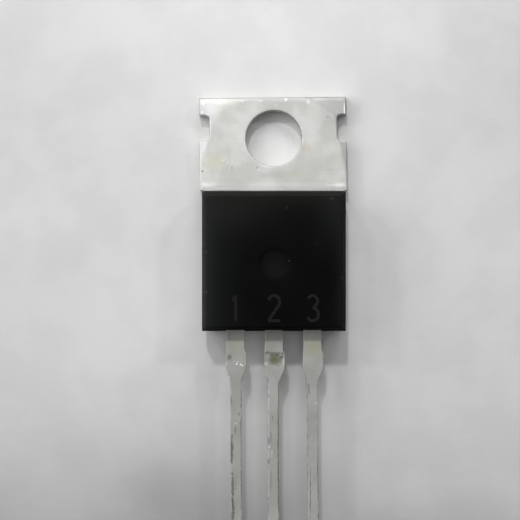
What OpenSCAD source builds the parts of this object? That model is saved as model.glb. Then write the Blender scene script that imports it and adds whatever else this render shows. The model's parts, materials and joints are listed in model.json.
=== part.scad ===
// Three-lead power transistor with a drilled heat-sink tab and a moulded black body.
// It lies on its back: the mounting face is the plane z = 0 and the origin is the
// centre of the tab's hole on that face. +Y runs to the free end of the tab, -Y to the
// lead tips, and +Z to the front of the body. All sizes are in millimetres.

/* [Tab] */
// How far the tab stands out past the widest line of the body, on each side
tab_overhang = 0.17; // [0.05:0.01:0.4]
// Length of bare tab between its free end and the body
tab_len = 6.25; // [5.8:0.05:7]
// Thickness of the tab and of the chip pad behind it
tab_t = 1.3; // [1.1:0.05:1.5]
// Diameter of the mounting hole
hole_d = 3.75; // [3.4:0.05:4.2]
// Centre of the hole from the free end of the tab
hole_from_end = 2.74; // [2.5:0.02:3]
// Near edge of each side notch from the free end of the tab
notch_from_end = 1.15; // [0.9:0.05:1.4]
// Height of each side notch, along the tab's edge
notch_h = 1.8; // [1.2:0.1:2.2]
// Depth of each side notch, from the tab's edge inwards
notch_d = 0.65; // [0.4:0.05:0.8]
// Radius of the notch's two inner corners
notch_r = 0.3; // [0.1:0.05:0.5]

/* [Moulded body] */
// Width of the body at the line where the mould halves meet
body_w = 9.5; // [9:0.05:10.6]
// Height of the body, from the tab to the lead exits
body_h = 9.33; // [8.5:0.01:9.8]
// Thickness of the package, from mounting face to front face
body_t = 4.5; // [4.3:0.05:4.8]
// Slope of the walls in front of the leads, in degrees
front_draft = 8; // [2:0.5:10]
// Slope of the walls behind the leads, in degrees
back_draft = 4; // [1:0.5:8]
// How far the plastic stays back from the mounting face
back_step = 0.05; // [0.02:0.01:0.1]
// Diameter of the round ejector mark on the front face
mark_d = 2; // [1.2:0.1:3]
// Depth of the ejector mark
mark_depth = 0.1; // [0.05:0.01:0.2]
// Centre of the ejector mark from the tab end of the body
mark_from_top = 4.86; // [4.2:0.02:5.2]

/* [Leads] */
// Distance between neighbouring leads
lead_pitch = 2.54; // [2.3:0.02:2.8]
// Height of the leads' back face over the mounting face
lead_z = 2.4; // [2.2:0.05:2.6]
// Thickness of the lead strip
lead_t = 0.5; // [0.4:0.02:0.6]
// Length of the leads outside the body
lead_len = 13.2; // [8:0.1:14.5]
// Width of a lead where it leaves the body
root_w = 1.2; // [1:0.05:1.4]
// Width of a lead's long thin end
tail_w = 0.72; // [0.6:0.02:0.9]
// Where the cut ends of the tie bar start, from the body
stub_from = 1.3; // [1:0.1:1.6]
// How far each cut end of the tie bar stands out
stub_out = 0.13; // [0.05:0.01:0.25]
// Where the lead starts to narrow, from the body
taper_from = 2.4; // [2:0.1:2.8]
// Length over which the lead narrows
taper_len = 0.95; // [0.6:0.05:1.6]
// Chamfer at each corner of a lead's tip
tip_chamfer = 0.14; // [0.05:0.01:0.25]

/* [Lead frame inside the body] */
// Plastic beside the chip pad
side_wall = 0.55; // [0.4:0.05:0.9]
// Plastic below the chip pad, on the back of the package
foot_wall = 2.7; // [2.5:0.05:3.2]
// How far the pad's edges hang over the plastic that grips them
lock_step = 0.25; // [0.1:0.05:0.35]
// Height of the undercut below that overhang
lock_h = 0.45; // [0.3:0.05:0.6]
// Chamfer of the chip pad's two inner corners
pad_chamfer = 0.5; // [0.2:0.1:1]
// Distance of the locking groove from the tab end of the body
groove_from = 0.7; // [0.5:0.05:1]
// Width of the locking groove at the pad's surface
groove_w = 0.5; // [0.3:0.05:0.7]
// Depth of the locking groove
groove_depth = 0.18; // [0.1:0.02:0.3]
// Width of the bent neck that joins the middle lead to the pad
neck_w = 1.5; // [1.3:0.05:1.8]
// Plan length of the neck's slope
neck_run = 0.95; // [0.8:0.05:1.2]
// Straight stretch of the neck between the pad and the slope
neck_flat = 0.3; // [0.2:0.05:0.4]
// Gap between the neck and the bonding post beside it
post_gap = 0.5; // [0.35:0.05:0.7]
// Plastic between a bonding post and the side of the body
post_wall = 0.75; // [0.6:0.05:1]
// Plastic between a bonding post and the lead exits
post_from = 0.85; // [0.6:0.05:1.1]
// Height of a bonding post, along the leads
post_h = 1.6; // [1.3:0.05:1.8]
// Diameter of the plastic's anchor hole in each bonding post
anchor_d = 0.5; // [0.3:0.05:0.6]
// Centre of that hole from the post's edge nearest the lead exits
anchor_from = 0.5; // [0.4:0.05:0.6]
// Chamfer at each corner of a bonding post
post_chamfer = 0.2; // [0.1:0.05:0.3]

/* [Chip and bond wires] */
// Width of the silicon chip, across the package
chip_w = 3.4; // [2.6:0.1:4.2]
// Height of the silicon chip, along the package
chip_h = 2.8; // [2.2:0.1:3.2]
// Thickness of the silicon chip
chip_t = 0.28; // [0.2:0.02:0.4]
// Distance of the chip from the lower end of the pad
chip_from = 1.4; // [1:0.05:1.8]
// Thickness of the solder under the chip
solder_t = 0.06; // [0.04:0.01:0.1]
// How far the solder shows round the chip
solder_margin = 0.15; // [0.05:0.05:0.3]
// Diameter of the two aluminium source wires
source_wire_d = 0.3; // [0.2:0.02:0.38]
// Distance between the two source wires, across the package
source_wire_gap = 0.8; // [0.6:0.05:1]
// Diameter of the aluminium gate wire
gate_wire_d = 0.15; // [0.12:0.01:0.2]
// Centre of each wire's foot from the chip's lower edge
foot_inset = 0.55; // [0.45:0.05:0.8]
// Plastic over the top of the wire loops
wire_cover = 0.9; // [0.6:0.05:1.2]

/* [Hidden] */
$fn = 48;

// Extra length of a cutting shape past the face that it opens
past = 1;
tab_w = body_w + 2 * tab_overhang;
tab_end = hole_from_end;
body_top = tab_end - tab_len;
body_foot = body_top - body_h;
lead_tip = body_foot - lead_len;
pad_w = body_w - 2 * side_wall;
pad_foot = body_foot + foot_wall;
lead_front = lead_z + lead_t;
// The pad runs on under the tab's shoulder, and the neck into the pad, so that each is one metal
joint_lap = 0.3;
post_in = neck_w / 2 + post_gap;
post_out = body_w / 2 - post_wall;
post_foot = body_foot + post_from;
post_mid = [(post_in + post_out) / 2, post_foot + post_h / 2];
chip_foot = pad_foot + chip_from;
chip_mid = chip_foot + chip_h / 2;
solder_front = tab_t + solder_t;
chip_front = solder_front + chip_t;
foot_y = chip_foot + foot_inset;
loop_top = body_t - wire_cover;
// A wedge bond squashes the wire's foot: its share of the wire's diameter in each direction
foot_flat = 0.6;
foot_wide = 1.3;
foot_long = 2.2;

// Area of one side notch, open past the tab's edge, with rounded inner corners
module notch_area() {
    inner = tab_w / 2 - notch_d;
    low = tab_end - notch_from_end - notch_h;
    translate([inner + notch_r, low]) square([notch_d - notch_r + past, notch_h]);
    translate([inner, low + notch_r]) square([notch_r, notch_h - 2 * notch_r]);
    for (corner_y = [low + notch_r, low + notch_h - notch_r])
        translate([inner + notch_r, corner_y]) circle(r = notch_r);
}

// The bare tab: a stamped plate with its hole and two side notches
module tab_plate() {
    difference() {
        linear_extrude(tab_t) difference() {
            translate([-tab_w / 2, body_top]) square([tab_w, tab_len]);
            notch_area();
            mirror([1, 0]) notch_area();
        }
        translate([0, 0, -past]) cylinder(d = hole_d, h = tab_t + 2 * past);
    }
}

// Cross-section of the chip pad: its front overhangs an undercut that the plastic fills
module pad_section() {
    half = pad_w / 2;
    polygon([
        [half - lock_step, 0], [half - lock_step, lock_h - lock_step], [half, lock_h], [half, tab_t],
        [-half, tab_t], [-half, lock_h], [lock_step - half, lock_h - lock_step], [lock_step - half, 0]
    ]);
}

// Plan of the chip pad, with its two inner corners cut off
module pad_plan() {
    half = pad_w / 2;
    polygon([
        [half, body_top + joint_lap], [half, pad_foot + pad_chamfer], [half - pad_chamfer, pad_foot],
        [pad_chamfer - half, pad_foot], [-half, pad_foot + pad_chamfer], [-half, body_top + joint_lap]
    ]);
}

// V-shaped groove across the pad, just inside the body
module locking_groove() {
    groove_y = body_top - groove_from;
    translate([-pad_w / 2 - past, 0, 0]) rotate([90, 0, 90]) linear_extrude(pad_w + 2 * past) polygon([
        [groove_y + groove_w / 2, tab_t], [groove_y + groove_w / 2, tab_t + past],
        [groove_y - groove_w / 2, tab_t + past], [groove_y - groove_w / 2, tab_t],
        [groove_y, tab_t - groove_depth]
    ]);
}

module chip_pad() {
    difference() {
        intersection() {
            linear_extrude(tab_t) pad_plan();
            translate([0, body_top + joint_lap, 0]) rotate([90, 0, 0])
                linear_extrude(body_top + joint_lap - pad_foot) pad_section();
        }
        locking_groove();
    }
}

// The strip's bend up from the chip pad to the plane of the leads, drawn from the side
module bent_neck() {
    rise = lead_front - tab_t;
    mitre = lead_t / 2 * tan(atan(rise / neck_run) / 2);
    slope_start = pad_foot - neck_flat;
    slope_end = slope_start - neck_run;
    translate([-neck_w / 2, 0, 0]) rotate([90, 0, 90]) linear_extrude(neck_w) polygon([
        [pad_foot + joint_lap, tab_t], [slope_start + mitre, tab_t], [slope_end + mitre, lead_front],
        [body_foot + joint_lap, lead_front], [body_foot + joint_lap, lead_z],
        [slope_end - mitre, lead_z], [slope_start - mitre, tab_t - lead_t],
        [pad_foot + joint_lap, tab_t - lead_t]
    ]);
}

// Outline of the lead outside the body: root, cut tie-bar ends, taper and thin tail
module lead_outline(inside) {
    root = root_w / 2;
    stub = root + stub_out;
    tail = tail_w / 2;
    right_side = [
        [root, body_foot + inside], [root, body_foot - stub_from], [stub, body_foot - stub_from - stub_out],
        [stub, body_foot - taper_from], [tail, body_foot - taper_from - taper_len],
        [tail, lead_tip + tip_chamfer], [tail - tip_chamfer, lead_tip]
    ];
    left_side = [for (i = [len(right_side) - 1:-1:0]) [-right_side[i].x, right_side[i].y]];
    polygon(concat(right_side, left_side));
}

// One stamped outer lead: its bonding post, with an anchor hole, and the lead itself
module outer_lead() {
    cut = post_chamfer;
    translate([0, 0, lead_z]) difference() {
        union() {
            translate([lead_pitch, 0, 0]) linear_extrude(lead_t) lead_outline(post_from + joint_lap);
            linear_extrude(lead_t) polygon([
                [post_in + cut, post_foot], [post_out - cut, post_foot],
                [post_out, post_foot + cut], [post_out, post_foot + post_h - cut],
                [post_out - cut, post_foot + post_h], [post_in + cut, post_foot + post_h],
                [post_in, post_foot + post_h - cut], [post_in, post_foot + cut]
            ]);
        }
        translate([lead_pitch, post_foot + anchor_from, -past]) cylinder(d = anchor_d, h = lead_t + 2 * past);
    }
}

module heat_sink_with_drain_lead() {
    color("silver") union() {
        tab_plate();
        chip_pad();
        bent_neck();
        translate([0, 0, lead_z]) linear_extrude(lead_t) lead_outline(joint_lap);
    }
}

module gate_lead() {
    color("silver") mirror([1, 0, 0]) outer_lead();
}

module source_lead() {
    color("silver") outer_lead();
}

// A flat rectangular layer centred on the chip, grown by a margin on every side
module chip_layer(margin, thickness, z) {
    size = [chip_w + 2 * margin, chip_h + 2 * margin, thickness];
    translate([-size.x / 2, chip_mid - size.y / 2, z]) cube(size);
}

module chip_solder() {
    color("slategray") chip_layer(solder_margin, solder_t, tab_t);
}

module silicon_chip() {
    color("dimgray") chip_layer(0, chip_t, solder_front);
}

// A wire's squashed foot, along X, standing on z = 0 with its centre over the origin
module wire_foot(wire_d) {
    translate([-foot_long * wire_d / 2, 0, 0]) rotate([90, 0, 90]) linear_extrude(foot_long * wire_d)
        intersection() {
            translate([0, foot_flat * wire_d / 2]) circle(d = foot_wide * wire_d);
            translate([-wire_d, 0]) square([2 * wire_d, foot_flat * wire_d]);
        }
}

// One bond wire from a point on the chip to a point on a post: two squashed feet and the
// arc of a circle that passes through both and just reaches the height loop_top
module bond_wire(from, to, wire_d) {
    span = norm([to.x - from.x, to.y - from.y]);
    heading = atan2(to.y - from.y, to.x - from.x);
    start_z = from.z + wire_d / 2;
    end_z = to.z + wire_d / 2;
    start_drop = loop_top - wire_d / 2 - start_z;
    end_drop = loop_top - wire_d / 2 - end_z;
    // The circle's top lies this far along the span, from the equation of a circle through both ends
    rest = span * span - start_drop * end_drop + end_drop * end_drop;
    crest = rest / (span + sqrt(span * span - (1 - end_drop / start_drop) * rest));
    radius = (crest * crest + start_drop * start_drop) / (2 * start_drop);
    centre_z = loop_top - wire_d / 2 - radius;
    end_angle = atan2(end_z - centre_z, span - crest);
    start_angle = atan2(start_z - centre_z, -crest);
    translate([from.x, from.y, 0]) rotate([0, 0, heading]) {
        translate([crest, 0, centre_z]) rotate([90, 0, 0]) rotate([0, 0, end_angle])
            rotate_extrude(angle = start_angle - end_angle) translate([radius, 0]) circle(d = wire_d);
        translate([0, 0, from.z]) wire_foot(wire_d);
        translate([span, 0, to.z]) wire_foot(wire_d);
    }
}

// One source wire, shifted sideways from the middle of the source post
module source_bond_wire(side) {
    shift = side * source_wire_gap / 2;
    bond_wire(
        [chip_w / 4 + shift, foot_y, chip_front],
        [post_mid.x + shift, post_mid.y, lead_front],
        source_wire_d
    );
}

module gate_bond_wire() {
    color("gainsboro") bond_wire(
        [foot_inset - chip_w / 2, foot_y, chip_front],
        [-post_mid.x, post_mid.y, lead_front],
        gate_wire_d
    );
}

module left_source_bond_wire() {
    color("gainsboro") source_bond_wire(-1);
}

module right_source_bond_wire() {
    color("gainsboro") source_bond_wire(1);
}

// The body seen from the end: widest at the leads' back plane, drafted to front and back
module body_end_profile() {
    front_half = body_w / 2 - (body_t - lead_z) * tan(front_draft);
    back_half = body_w / 2 - (lead_z - back_step) * tan(back_draft);
    polygon([
        [back_half, back_step], [body_w / 2, lead_z], [front_half, body_t],
        [-front_half, body_t], [-body_w / 2, lead_z], [-back_half, back_step]
    ]);
}

// The body seen from the side: square where it meets the tab's shoulders, drafted elsewhere
module body_side_profile() {
    polygon([
        [body_top, back_step], [body_top, tab_t], [body_top - (body_t - tab_t) * tan(front_draft), body_t],
        [body_foot + (body_t - lead_z) * tan(front_draft), body_t], [body_foot, lead_z],
        [body_foot + (lead_z - back_step) * tan(back_draft), back_step]
    ]);
}

module moulded_body() {
    color([0.08, 0.08, 0.09]) difference() {
        intersection() {
            translate([0, body_top, 0]) rotate([90, 0, 0]) linear_extrude(body_h) body_end_profile();
            translate([-body_w / 2, 0, 0]) rotate([90, 0, 90]) linear_extrude(body_w) body_side_profile();
        }
        translate([0, body_top - mark_from_top, body_t - mark_depth])
            cylinder(d = mark_d, h = mark_depth + past);
        heat_sink_with_drain_lead();
        gate_lead();
        source_lead();
        chip_solder();
        silicon_chip();
        gate_bond_wire();
        left_source_bond_wire();
        right_source_bond_wire();
    }
}

heat_sink_with_drain_lead();
gate_lead();
source_lead();
chip_solder();
silicon_chip();
gate_bond_wire();
left_source_bond_wire();
right_source_bond_wire();
moulded_body();
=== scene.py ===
"""Dressed model of a three-lead power transistor, lying on its back on a sheet of paper.

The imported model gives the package's own sizes. Lengths in this file are millimetres, and what is made
from them is turned into metres when it is made. +Z is the front of the package, +Y the tab's free end.

NOISE_SEED makes the random fields the same on each run. INSIDE_EDGES makes a triangulation fill only
what its outline encloses. SAME is the distance under which two points count as one, and SLACK the play
of a comparison. EDGE_RING is the width of the flat ring inside a rounded edge, and LEAD_EDGE_R the
radius of the leads' edges.
"""
import json
import logging
import math
from collections.abc import Callable, Sequence
from dataclasses import dataclass, field
from enum import Enum

import bpy
import numpy as np
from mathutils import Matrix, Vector, noise
from mathutils.geometry import delaunay_2d_cdt


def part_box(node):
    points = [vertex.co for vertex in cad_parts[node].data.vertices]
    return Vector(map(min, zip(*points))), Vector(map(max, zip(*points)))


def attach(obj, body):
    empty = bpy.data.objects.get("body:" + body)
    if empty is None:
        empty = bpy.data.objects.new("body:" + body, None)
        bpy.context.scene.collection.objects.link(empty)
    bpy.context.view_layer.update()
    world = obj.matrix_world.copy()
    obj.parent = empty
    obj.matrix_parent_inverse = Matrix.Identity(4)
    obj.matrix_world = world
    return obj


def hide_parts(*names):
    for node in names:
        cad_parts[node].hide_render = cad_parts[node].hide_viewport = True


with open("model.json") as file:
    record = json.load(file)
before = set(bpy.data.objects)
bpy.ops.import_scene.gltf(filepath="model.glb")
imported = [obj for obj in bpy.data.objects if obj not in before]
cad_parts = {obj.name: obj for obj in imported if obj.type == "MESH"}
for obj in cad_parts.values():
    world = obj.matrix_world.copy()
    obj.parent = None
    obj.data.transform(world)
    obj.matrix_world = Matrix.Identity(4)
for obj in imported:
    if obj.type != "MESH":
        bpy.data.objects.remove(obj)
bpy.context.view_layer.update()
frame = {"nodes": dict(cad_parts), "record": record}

MM = 0.001
BODY = "root"
NOISE_SEED = 12
INSIDE_EDGES = 1
SAME = 1e-4
SLACK = 1e-6
EDGE_RING = 0.03
LEAD_EDGE_R = 0.04

logging.basicConfig(level=logging.INFO, format="%(name)s: %(message)s")
log = logging.getLogger("power_transistor")

Socket = bpy.types.NodeSocket
Value = float | tuple | Socket


class Lead(Enum):
    """The three leads, with each one's place across the package in pitches."""

    GATE = -1
    DRAIN = 0
    SOURCE = 1


def node_box(name: str) -> tuple[np.ndarray, np.ndarray]:
    """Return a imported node's lowest and highest corners, in millimetres.

    Args:
        name: The node's name.

    Returns:
        The two corners.
    """
    low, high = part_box(name)
    return np.array(low) / MM, np.array(high) / MM


@dataclass(frozen=True)
class Package:
    """Sizes of the package in millimetres: those that the frame gives, then those seen up close."""

    tab_w: float
    tab_end: float
    tab_t: float
    hole_r: float
    body_w: float
    body_top: float
    body_foot: float
    body_t: float
    back_step: float
    lead_tip: float
    lead_z: float
    lead_front: float
    post_in: float
    post_out: float
    post_top: float
    front_draft: float = 8.0
    back_draft: float = 4.0
    mark_r: float = 1.0
    mark_depth: float = 0.1
    mark_from_top: float = 4.86
    notch_from_end: float = 1.15
    notch_h: float = 1.8
    notch_d: float = 0.65
    notch_r: float = 0.3
    lead_pitch: float = 2.54
    root_w: float = 1.2
    tail_w: float = 0.72
    stub_from: float = 1.3
    stub_out: float = 0.13
    taper_from: float = 2.4
    taper_len: float = 0.95
    root_inside: float = 0.6
    tip_chamfer: float = 0.14
    side_wall: float = 0.55
    foot_wall: float = 2.7
    lock_step: float = 0.25
    lock_h: float = 0.45
    pad_chamfer: float = 0.5
    neck_w: float = 1.5
    neck_run: float = 0.95
    neck_flat: float = 0.3
    post_h: float = 1.6
    anchor_d: float = 0.5
    anchor_from: float = 0.5
    post_chamfer: float = 0.2

    @classmethod
    def from_frame(cls) -> "Package":
        """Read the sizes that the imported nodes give.

        Returns:
            The package.
        """
        metal_low, metal_high = node_box("heat_sink_with_drain_lead")
        body_low, body_high = node_box("moulded_body")
        lead_low, lead_high = node_box("source_lead")
        hole = next(m for m in frame["record"]["mounts"] if m["name"] == "mounting_hole")
        return cls(
            tab_w=metal_high[0] - metal_low[0], tab_end=metal_high[1], tab_t=node_box("chip_solder")[0][2],
            hole_r=hole["dims"]["r_mm"], body_w=body_high[0] - body_low[0], body_top=body_high[1],
            body_foot=body_low[1], body_t=body_high[2], back_step=body_low[2], lead_tip=metal_low[1],
            lead_z=lead_low[2], lead_front=lead_high[2], post_in=lead_low[0], post_out=lead_high[0],
            post_top=lead_high[1],
        )

    @property
    def pad_w(self) -> float:
        """Width of the chip pad behind the tab."""
        return self.body_w - 2 * self.side_wall

    @property
    def pad_foot(self) -> float:
        """Lower end of the chip pad."""
        return self.body_foot + self.foot_wall

    def lead_x(self, lead: Lead) -> float:
        """Return the place of a lead's centre line across the package."""
        return lead.value * self.lead_pitch


class LoopPen:
    """Draws a closed plan outline from straight lines and arcs."""

    least_arc_parts = 6

    def __init__(self, step: float) -> None:
        """Start an empty outline.

        Args:
            step: Longest distance between neighbouring points.
        """
        self.step = step
        self.points: list[tuple[float, float]] = []

    def to(self, *points: tuple[float, float]) -> "LoopPen":
        """Draw straight lines to the given points.

        Args:
            points: The points, in order.

        Returns:
            The pen.
        """
        for point in points:
            if self.points:
                start = np.array(self.points[-1])
                run = np.array(point) - start
                count = max(1, math.ceil(np.linalg.norm(run) / self.step))
                self.points += [tuple(start + run * i / count) for i in range(1, count)]
            self.points.append(point)
        return self

    def arc(self, centre: tuple[float, float], radius: float, start: float, end: float) -> "LoopPen":
        """Draw an arc, joined to what was drawn before by a straight line.

        Args:
            centre: Centre of the arc.
            radius: Radius of the arc.
            start: First angle in degrees.
            end: Last angle in degrees.

        Returns:
            The pen.
        """
        length = math.radians(abs(end - start)) * radius
        count = max(self.least_arc_parts, math.ceil(length / self.step))
        angles = np.radians(np.linspace(start, end, count + 1))
        arc = [(centre[0] + radius * math.cos(a), centre[1] + radius * math.sin(a)) for a in angles]
        self.to(arc[0])
        self.points += arc[1:]
        return self

    def loop(self) -> np.ndarray:
        """Close the outline.

        Returns:
            Its points, without the first one again at the end.
        """
        self.to(self.points[0])
        points = np.array(self.points[:-1])
        apart = np.linalg.norm(points - np.roll(points, 1, axis=0), axis=1) > SAME
        return points[apart]


def circle_loop(centre: tuple[float, float], radius: float, count: int, hole: bool) -> np.ndarray:
    """Return a circle's points, anticlockwise, or clockwise for a hole."""
    angles = np.linspace(0, 2 * math.pi, count, endpoint=False) * (-1 if hole else 1)
    return np.column_stack([centre[0] + radius * np.cos(angles), centre[1] + radius * np.sin(angles)])


def inset(loop: np.ndarray, distance: float) -> np.ndarray:
    """Move an outline into the material, which lies to the left of its direction.

    Args:
        loop: The outline's points, anticlockwise round the material and clockwise round a hole.
        distance: How far to move it.

    Returns:
        The moved points.
    """
    ahead = np.roll(loop, -1, axis=0) - loop
    ahead /= np.linalg.norm(ahead, axis=1, keepdims=True)
    left = np.column_stack([-ahead[:, 1], ahead[:, 0]])
    both = left + np.roll(left, 1, axis=0)
    sharpest = 0.4
    return loop + distance * 2 * both / np.maximum((both * both).sum(axis=1, keepdims=True), sharpest)


def inside(points: np.ndarray, loop: np.ndarray) -> np.ndarray:
    """Find which plan points lie inside a closed loop.

    Args:
        points: The points.
        loop: The loop's corners, in order.

    Returns:
        True or false for each point.
    """
    a, b = loop, np.roll(loop, -1, axis=0)
    y = points[:, 1:2]
    crosses = (a[:, 1] > y) != (b[:, 1] > y)
    rise = np.where(b[:, 1] == a[:, 1], 1.0, b[:, 1] - a[:, 1])
    at = a[:, 0] + (y - a[:, 1]) / rise * (b[:, 0] - a[:, 0])
    return ((crosses & (points[:, 0:1] < at)).sum(axis=1) % 2).astype(bool)


def nearest(points: np.ndarray, loops: Sequence[np.ndarray]) -> np.ndarray:
    """Measure each plan point's distance to the nearest line of some closed loops.

    Args:
        points: The points, of which only the first two numbers count.
        loops: The loops' corners, in order.

    Returns:
        The distances.
    """
    batch = 2000
    best = np.full(len(points), np.inf)
    for loop in loops:
        a, run = loop, np.roll(loop, -1, axis=0) - loop
        length = np.maximum((run * run).sum(axis=1), SLACK ** 2)
        for first in range(0, len(points), batch):
            part = points[first:first + batch, None, :2]
            share = np.clip(((part - a) * run).sum(axis=2) / length, 0, 1)
            gap = np.linalg.norm(part - a - share[..., None] * run, axis=2).min(axis=1)
            best[first:first + batch] = np.minimum(best[first:first + batch], gap)
    return best


def bends(parts: int = 4) -> list[tuple[float, float]]:
    """Return the sine and cosine of the places on a rounded edge, from flat to upright."""
    return [(math.sin(turn), math.cos(turn)) for turn in np.radians(np.linspace(0, 90, parts + 1))]


@dataclass
class Solid:
    """One closed surface, collected ring by ring in millimetres."""

    points: list[tuple[float, float, float]] = field(default_factory=list)
    faces: list[tuple[int, ...]] = field(default_factory=list)

    def ring(self, loop: np.ndarray, z: float) -> list[int]:
        """Add an outline at a height.

        Args:
            loop: The outline's points.
            z: The height.

        Returns:
            The numbers of the added points.
        """
        first = len(self.points)
        self.points += [(float(x), float(y), z) for x, y in loop]
        return list(range(first, len(self.points)))

    def wall(self, rings: Sequence[list[int]]) -> None:
        """Join neighbouring rings with four-sided faces.

        Args:
            rings: The rings' point numbers, all of one length.
        """
        for low, high in zip(rings, rings[1:]):
            for i in range(len(low)):
                j = (i + 1) % len(low)
                self.faces.append((low[i], low[j], high[j], high[i]))

    def cap(self, rings: Sequence[list[int]], spacing: float, front: bool) -> None:
        """Fill the area inside the first ring and outside the others with even triangles.

        Args:
            rings: The outer ring, then the holes' rings, all at one height.
            spacing: Distance between the points that are added inside the area.
            front: True where the face looks along +Z.
        """
        numbers = [n for ring in rings for n in ring]
        loops = [np.array([self.points[n][:2] for n in ring]) for ring in rings]
        edges, first = [], 0
        for ring in rings:
            edges += [(first + i, first + (i + 1) % len(ring)) for i in range(len(ring))]
            first += len(ring)
        low, high = loops[0].min(axis=0), loops[0].max(axis=0)
        row_gap, clear = spacing * 0.866, spacing * 0.45
        row_starts = (spacing * 0.25, spacing * 0.75)
        grid = np.array([
            (x, y) for k, y in enumerate(np.arange(low[1] + spacing / 2, high[1], row_gap))
            for x in np.arange(low[0] + row_starts[k % 2], high[0], spacing)
        ])
        held = inside(grid, loops[0])
        for loop in loops[1:]:
            held &= ~inside(grid, loop)
        held &= nearest(grid, loops) > clear
        z = self.points[rings[0][0]][2]
        inner = grid[held]
        numbers += list(range(len(self.points), len(self.points) + len(inner)))
        self.points += [(float(x), float(y), z) for x, y in inner]
        flat = [Vector(self.points[n][:2]) for n in numbers]
        _, _, triangles, origin, _, _ = delaunay_2d_cdt(flat, edges, [], INSIDE_EDGES, SLACK)
        flat = np.array(flat)
        corners = [tuple(origin[v][0] for v in face) for face in triangles]
        middles = np.array([flat[list(face)].mean(axis=0) for face in corners])
        kept = np.ones(len(corners), bool)
        for loop in loops[1:]:
            kept &= ~inside(middles, loop)
        for face, keep in zip(corners, kept):
            if keep:
                face = tuple(numbers[v] for v in face)
                self.faces.append(face if front else face[::-1])

    def plate(self, loops: Sequence[np.ndarray], back: float, front: float, back_r: float, front_r: float,
              spacing: float, levels: Sequence[float] = (), hole_share: float = 0.3) -> None:
        """Add a flat plate with rounded edges.

        Args:
            loops: The outer outline, then its holes.
            back: Height of the back face.
            front: Height of the front face.
            back_r: Radius of the edges of the back face.
            front_r: Radius of the edges of the front face.
            spacing: Distance between the points inside the faces.
            levels: Heights of further rings on the side walls.
            hole_share: How wide the holes' front edges are rounded, as a share of the outer ones.
        """
        profile = [(back_r + EDGE_RING, back)]
        profile += [(back_r * (1 - s), back + back_r * (1 - c)) for s, c in bends()]
        profile += [(0.0, z) for z in levels]
        profile += [(front_r * (1 - c), front - front_r * (1 - s)) for s, c in bends()]
        profile += [(front_r + EDGE_RING, front)]
        ends = []
        for number, loop in enumerate(loops):
            share = hole_share if number else 1.0
            depths = [depth * (share if z > (back + front) / 2 else 1.0) for depth, z in profile]
            rings = [self.ring(inset(loop, depth), z) for depth, (_, z) in zip(depths, profile)]
            self.wall(rings)
            ends.append((rings[0], rings[-1]))
        self.cap([low for low, _ in ends], spacing, front=False)
        self.cap([high for _, high in ends], spacing, front=True)

    def make(self, name: str, shape: Callable[[np.ndarray], np.ndarray], edge: np.ndarray,
             smooth: bool = True) -> bpy.types.Object:
        """Turn the solid into a mesh object.

        Args:
            name: Name of the piece.
            shape: Moves the points, given and returned in millimetres.
            edge: For each point, how near it is to a sharp edge, from 0 to 1.
            smooth: Whether the faces are shaded as one curved surface.

        Returns:
            The object.
        """
        points = shape(np.array(self.points)) * MM
        mesh = bpy.data.meshes.new(name)
        mesh.from_pydata([tuple(p) for p in points], [], self.faces)
        mesh.attributes.new("edge", "FLOAT", "POINT").data.foreach_set("value", edge.astype(np.float32))
        if smooth:
            mesh.shade_smooth()
        mesh.validate()
        piece = bpy.data.objects.new(name, mesh)
        bpy.context.scene.collection.objects.link(piece)
        return piece


def ripple(points: np.ndarray, per_mm: float, depth: float, seed: float) -> np.ndarray:
    """Shift points by a smooth random field, the same on every run.

    Args:
        points: The points in millimetres.
        per_mm: How many waves there are in a millimetre.
        depth: Largest shift.
        seed: Place in the random field.

    Returns:
        The shifted points.
    """
    start = Vector((seed, -seed, 2 * seed))
    shift = [noise.noise_vector(Vector(p) * per_mm + start) for p in points]
    return points + depth * np.array(shift)


def burred(points: np.ndarray, seed: float) -> np.ndarray:
    """Make a lead's sides uneven, and its faces a little.

    Args:
        points: The points in millimetres.
        seed: Place in the random field.

    Returns:
        The shifted points.
    """
    broad_per_mm, broad_depth = 1.5, 0.018
    fine_per_mm, fine_depth = 3.1, 0.016
    face_share = 0.3
    moved = ripple(ripple(points, broad_per_mm, broad_depth, seed), fine_per_mm, fine_depth, seed + 5)
    moved[:, 2] = points[:, 2] + face_share * (moved[:, 2] - points[:, 2])
    return moved


def settle(piece: bpy.types.Object, materials: Sequence[bpy.types.Material],
           node: str = "") -> None:
    """Give a new piece its materials and body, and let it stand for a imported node.

    Args:
        piece: The new piece.
        materials: Its materials, in the order of its faces' numbers.
        node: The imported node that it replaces, if there is one.
    """
    for material in materials:
        piece.data.materials.append(material)
    if node:
        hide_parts(node)
    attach(piece, BODY)
    log.info("%s: %d points, %d faces", piece.name, len(piece.data.vertices), len(piece.data.polygons))


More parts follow.
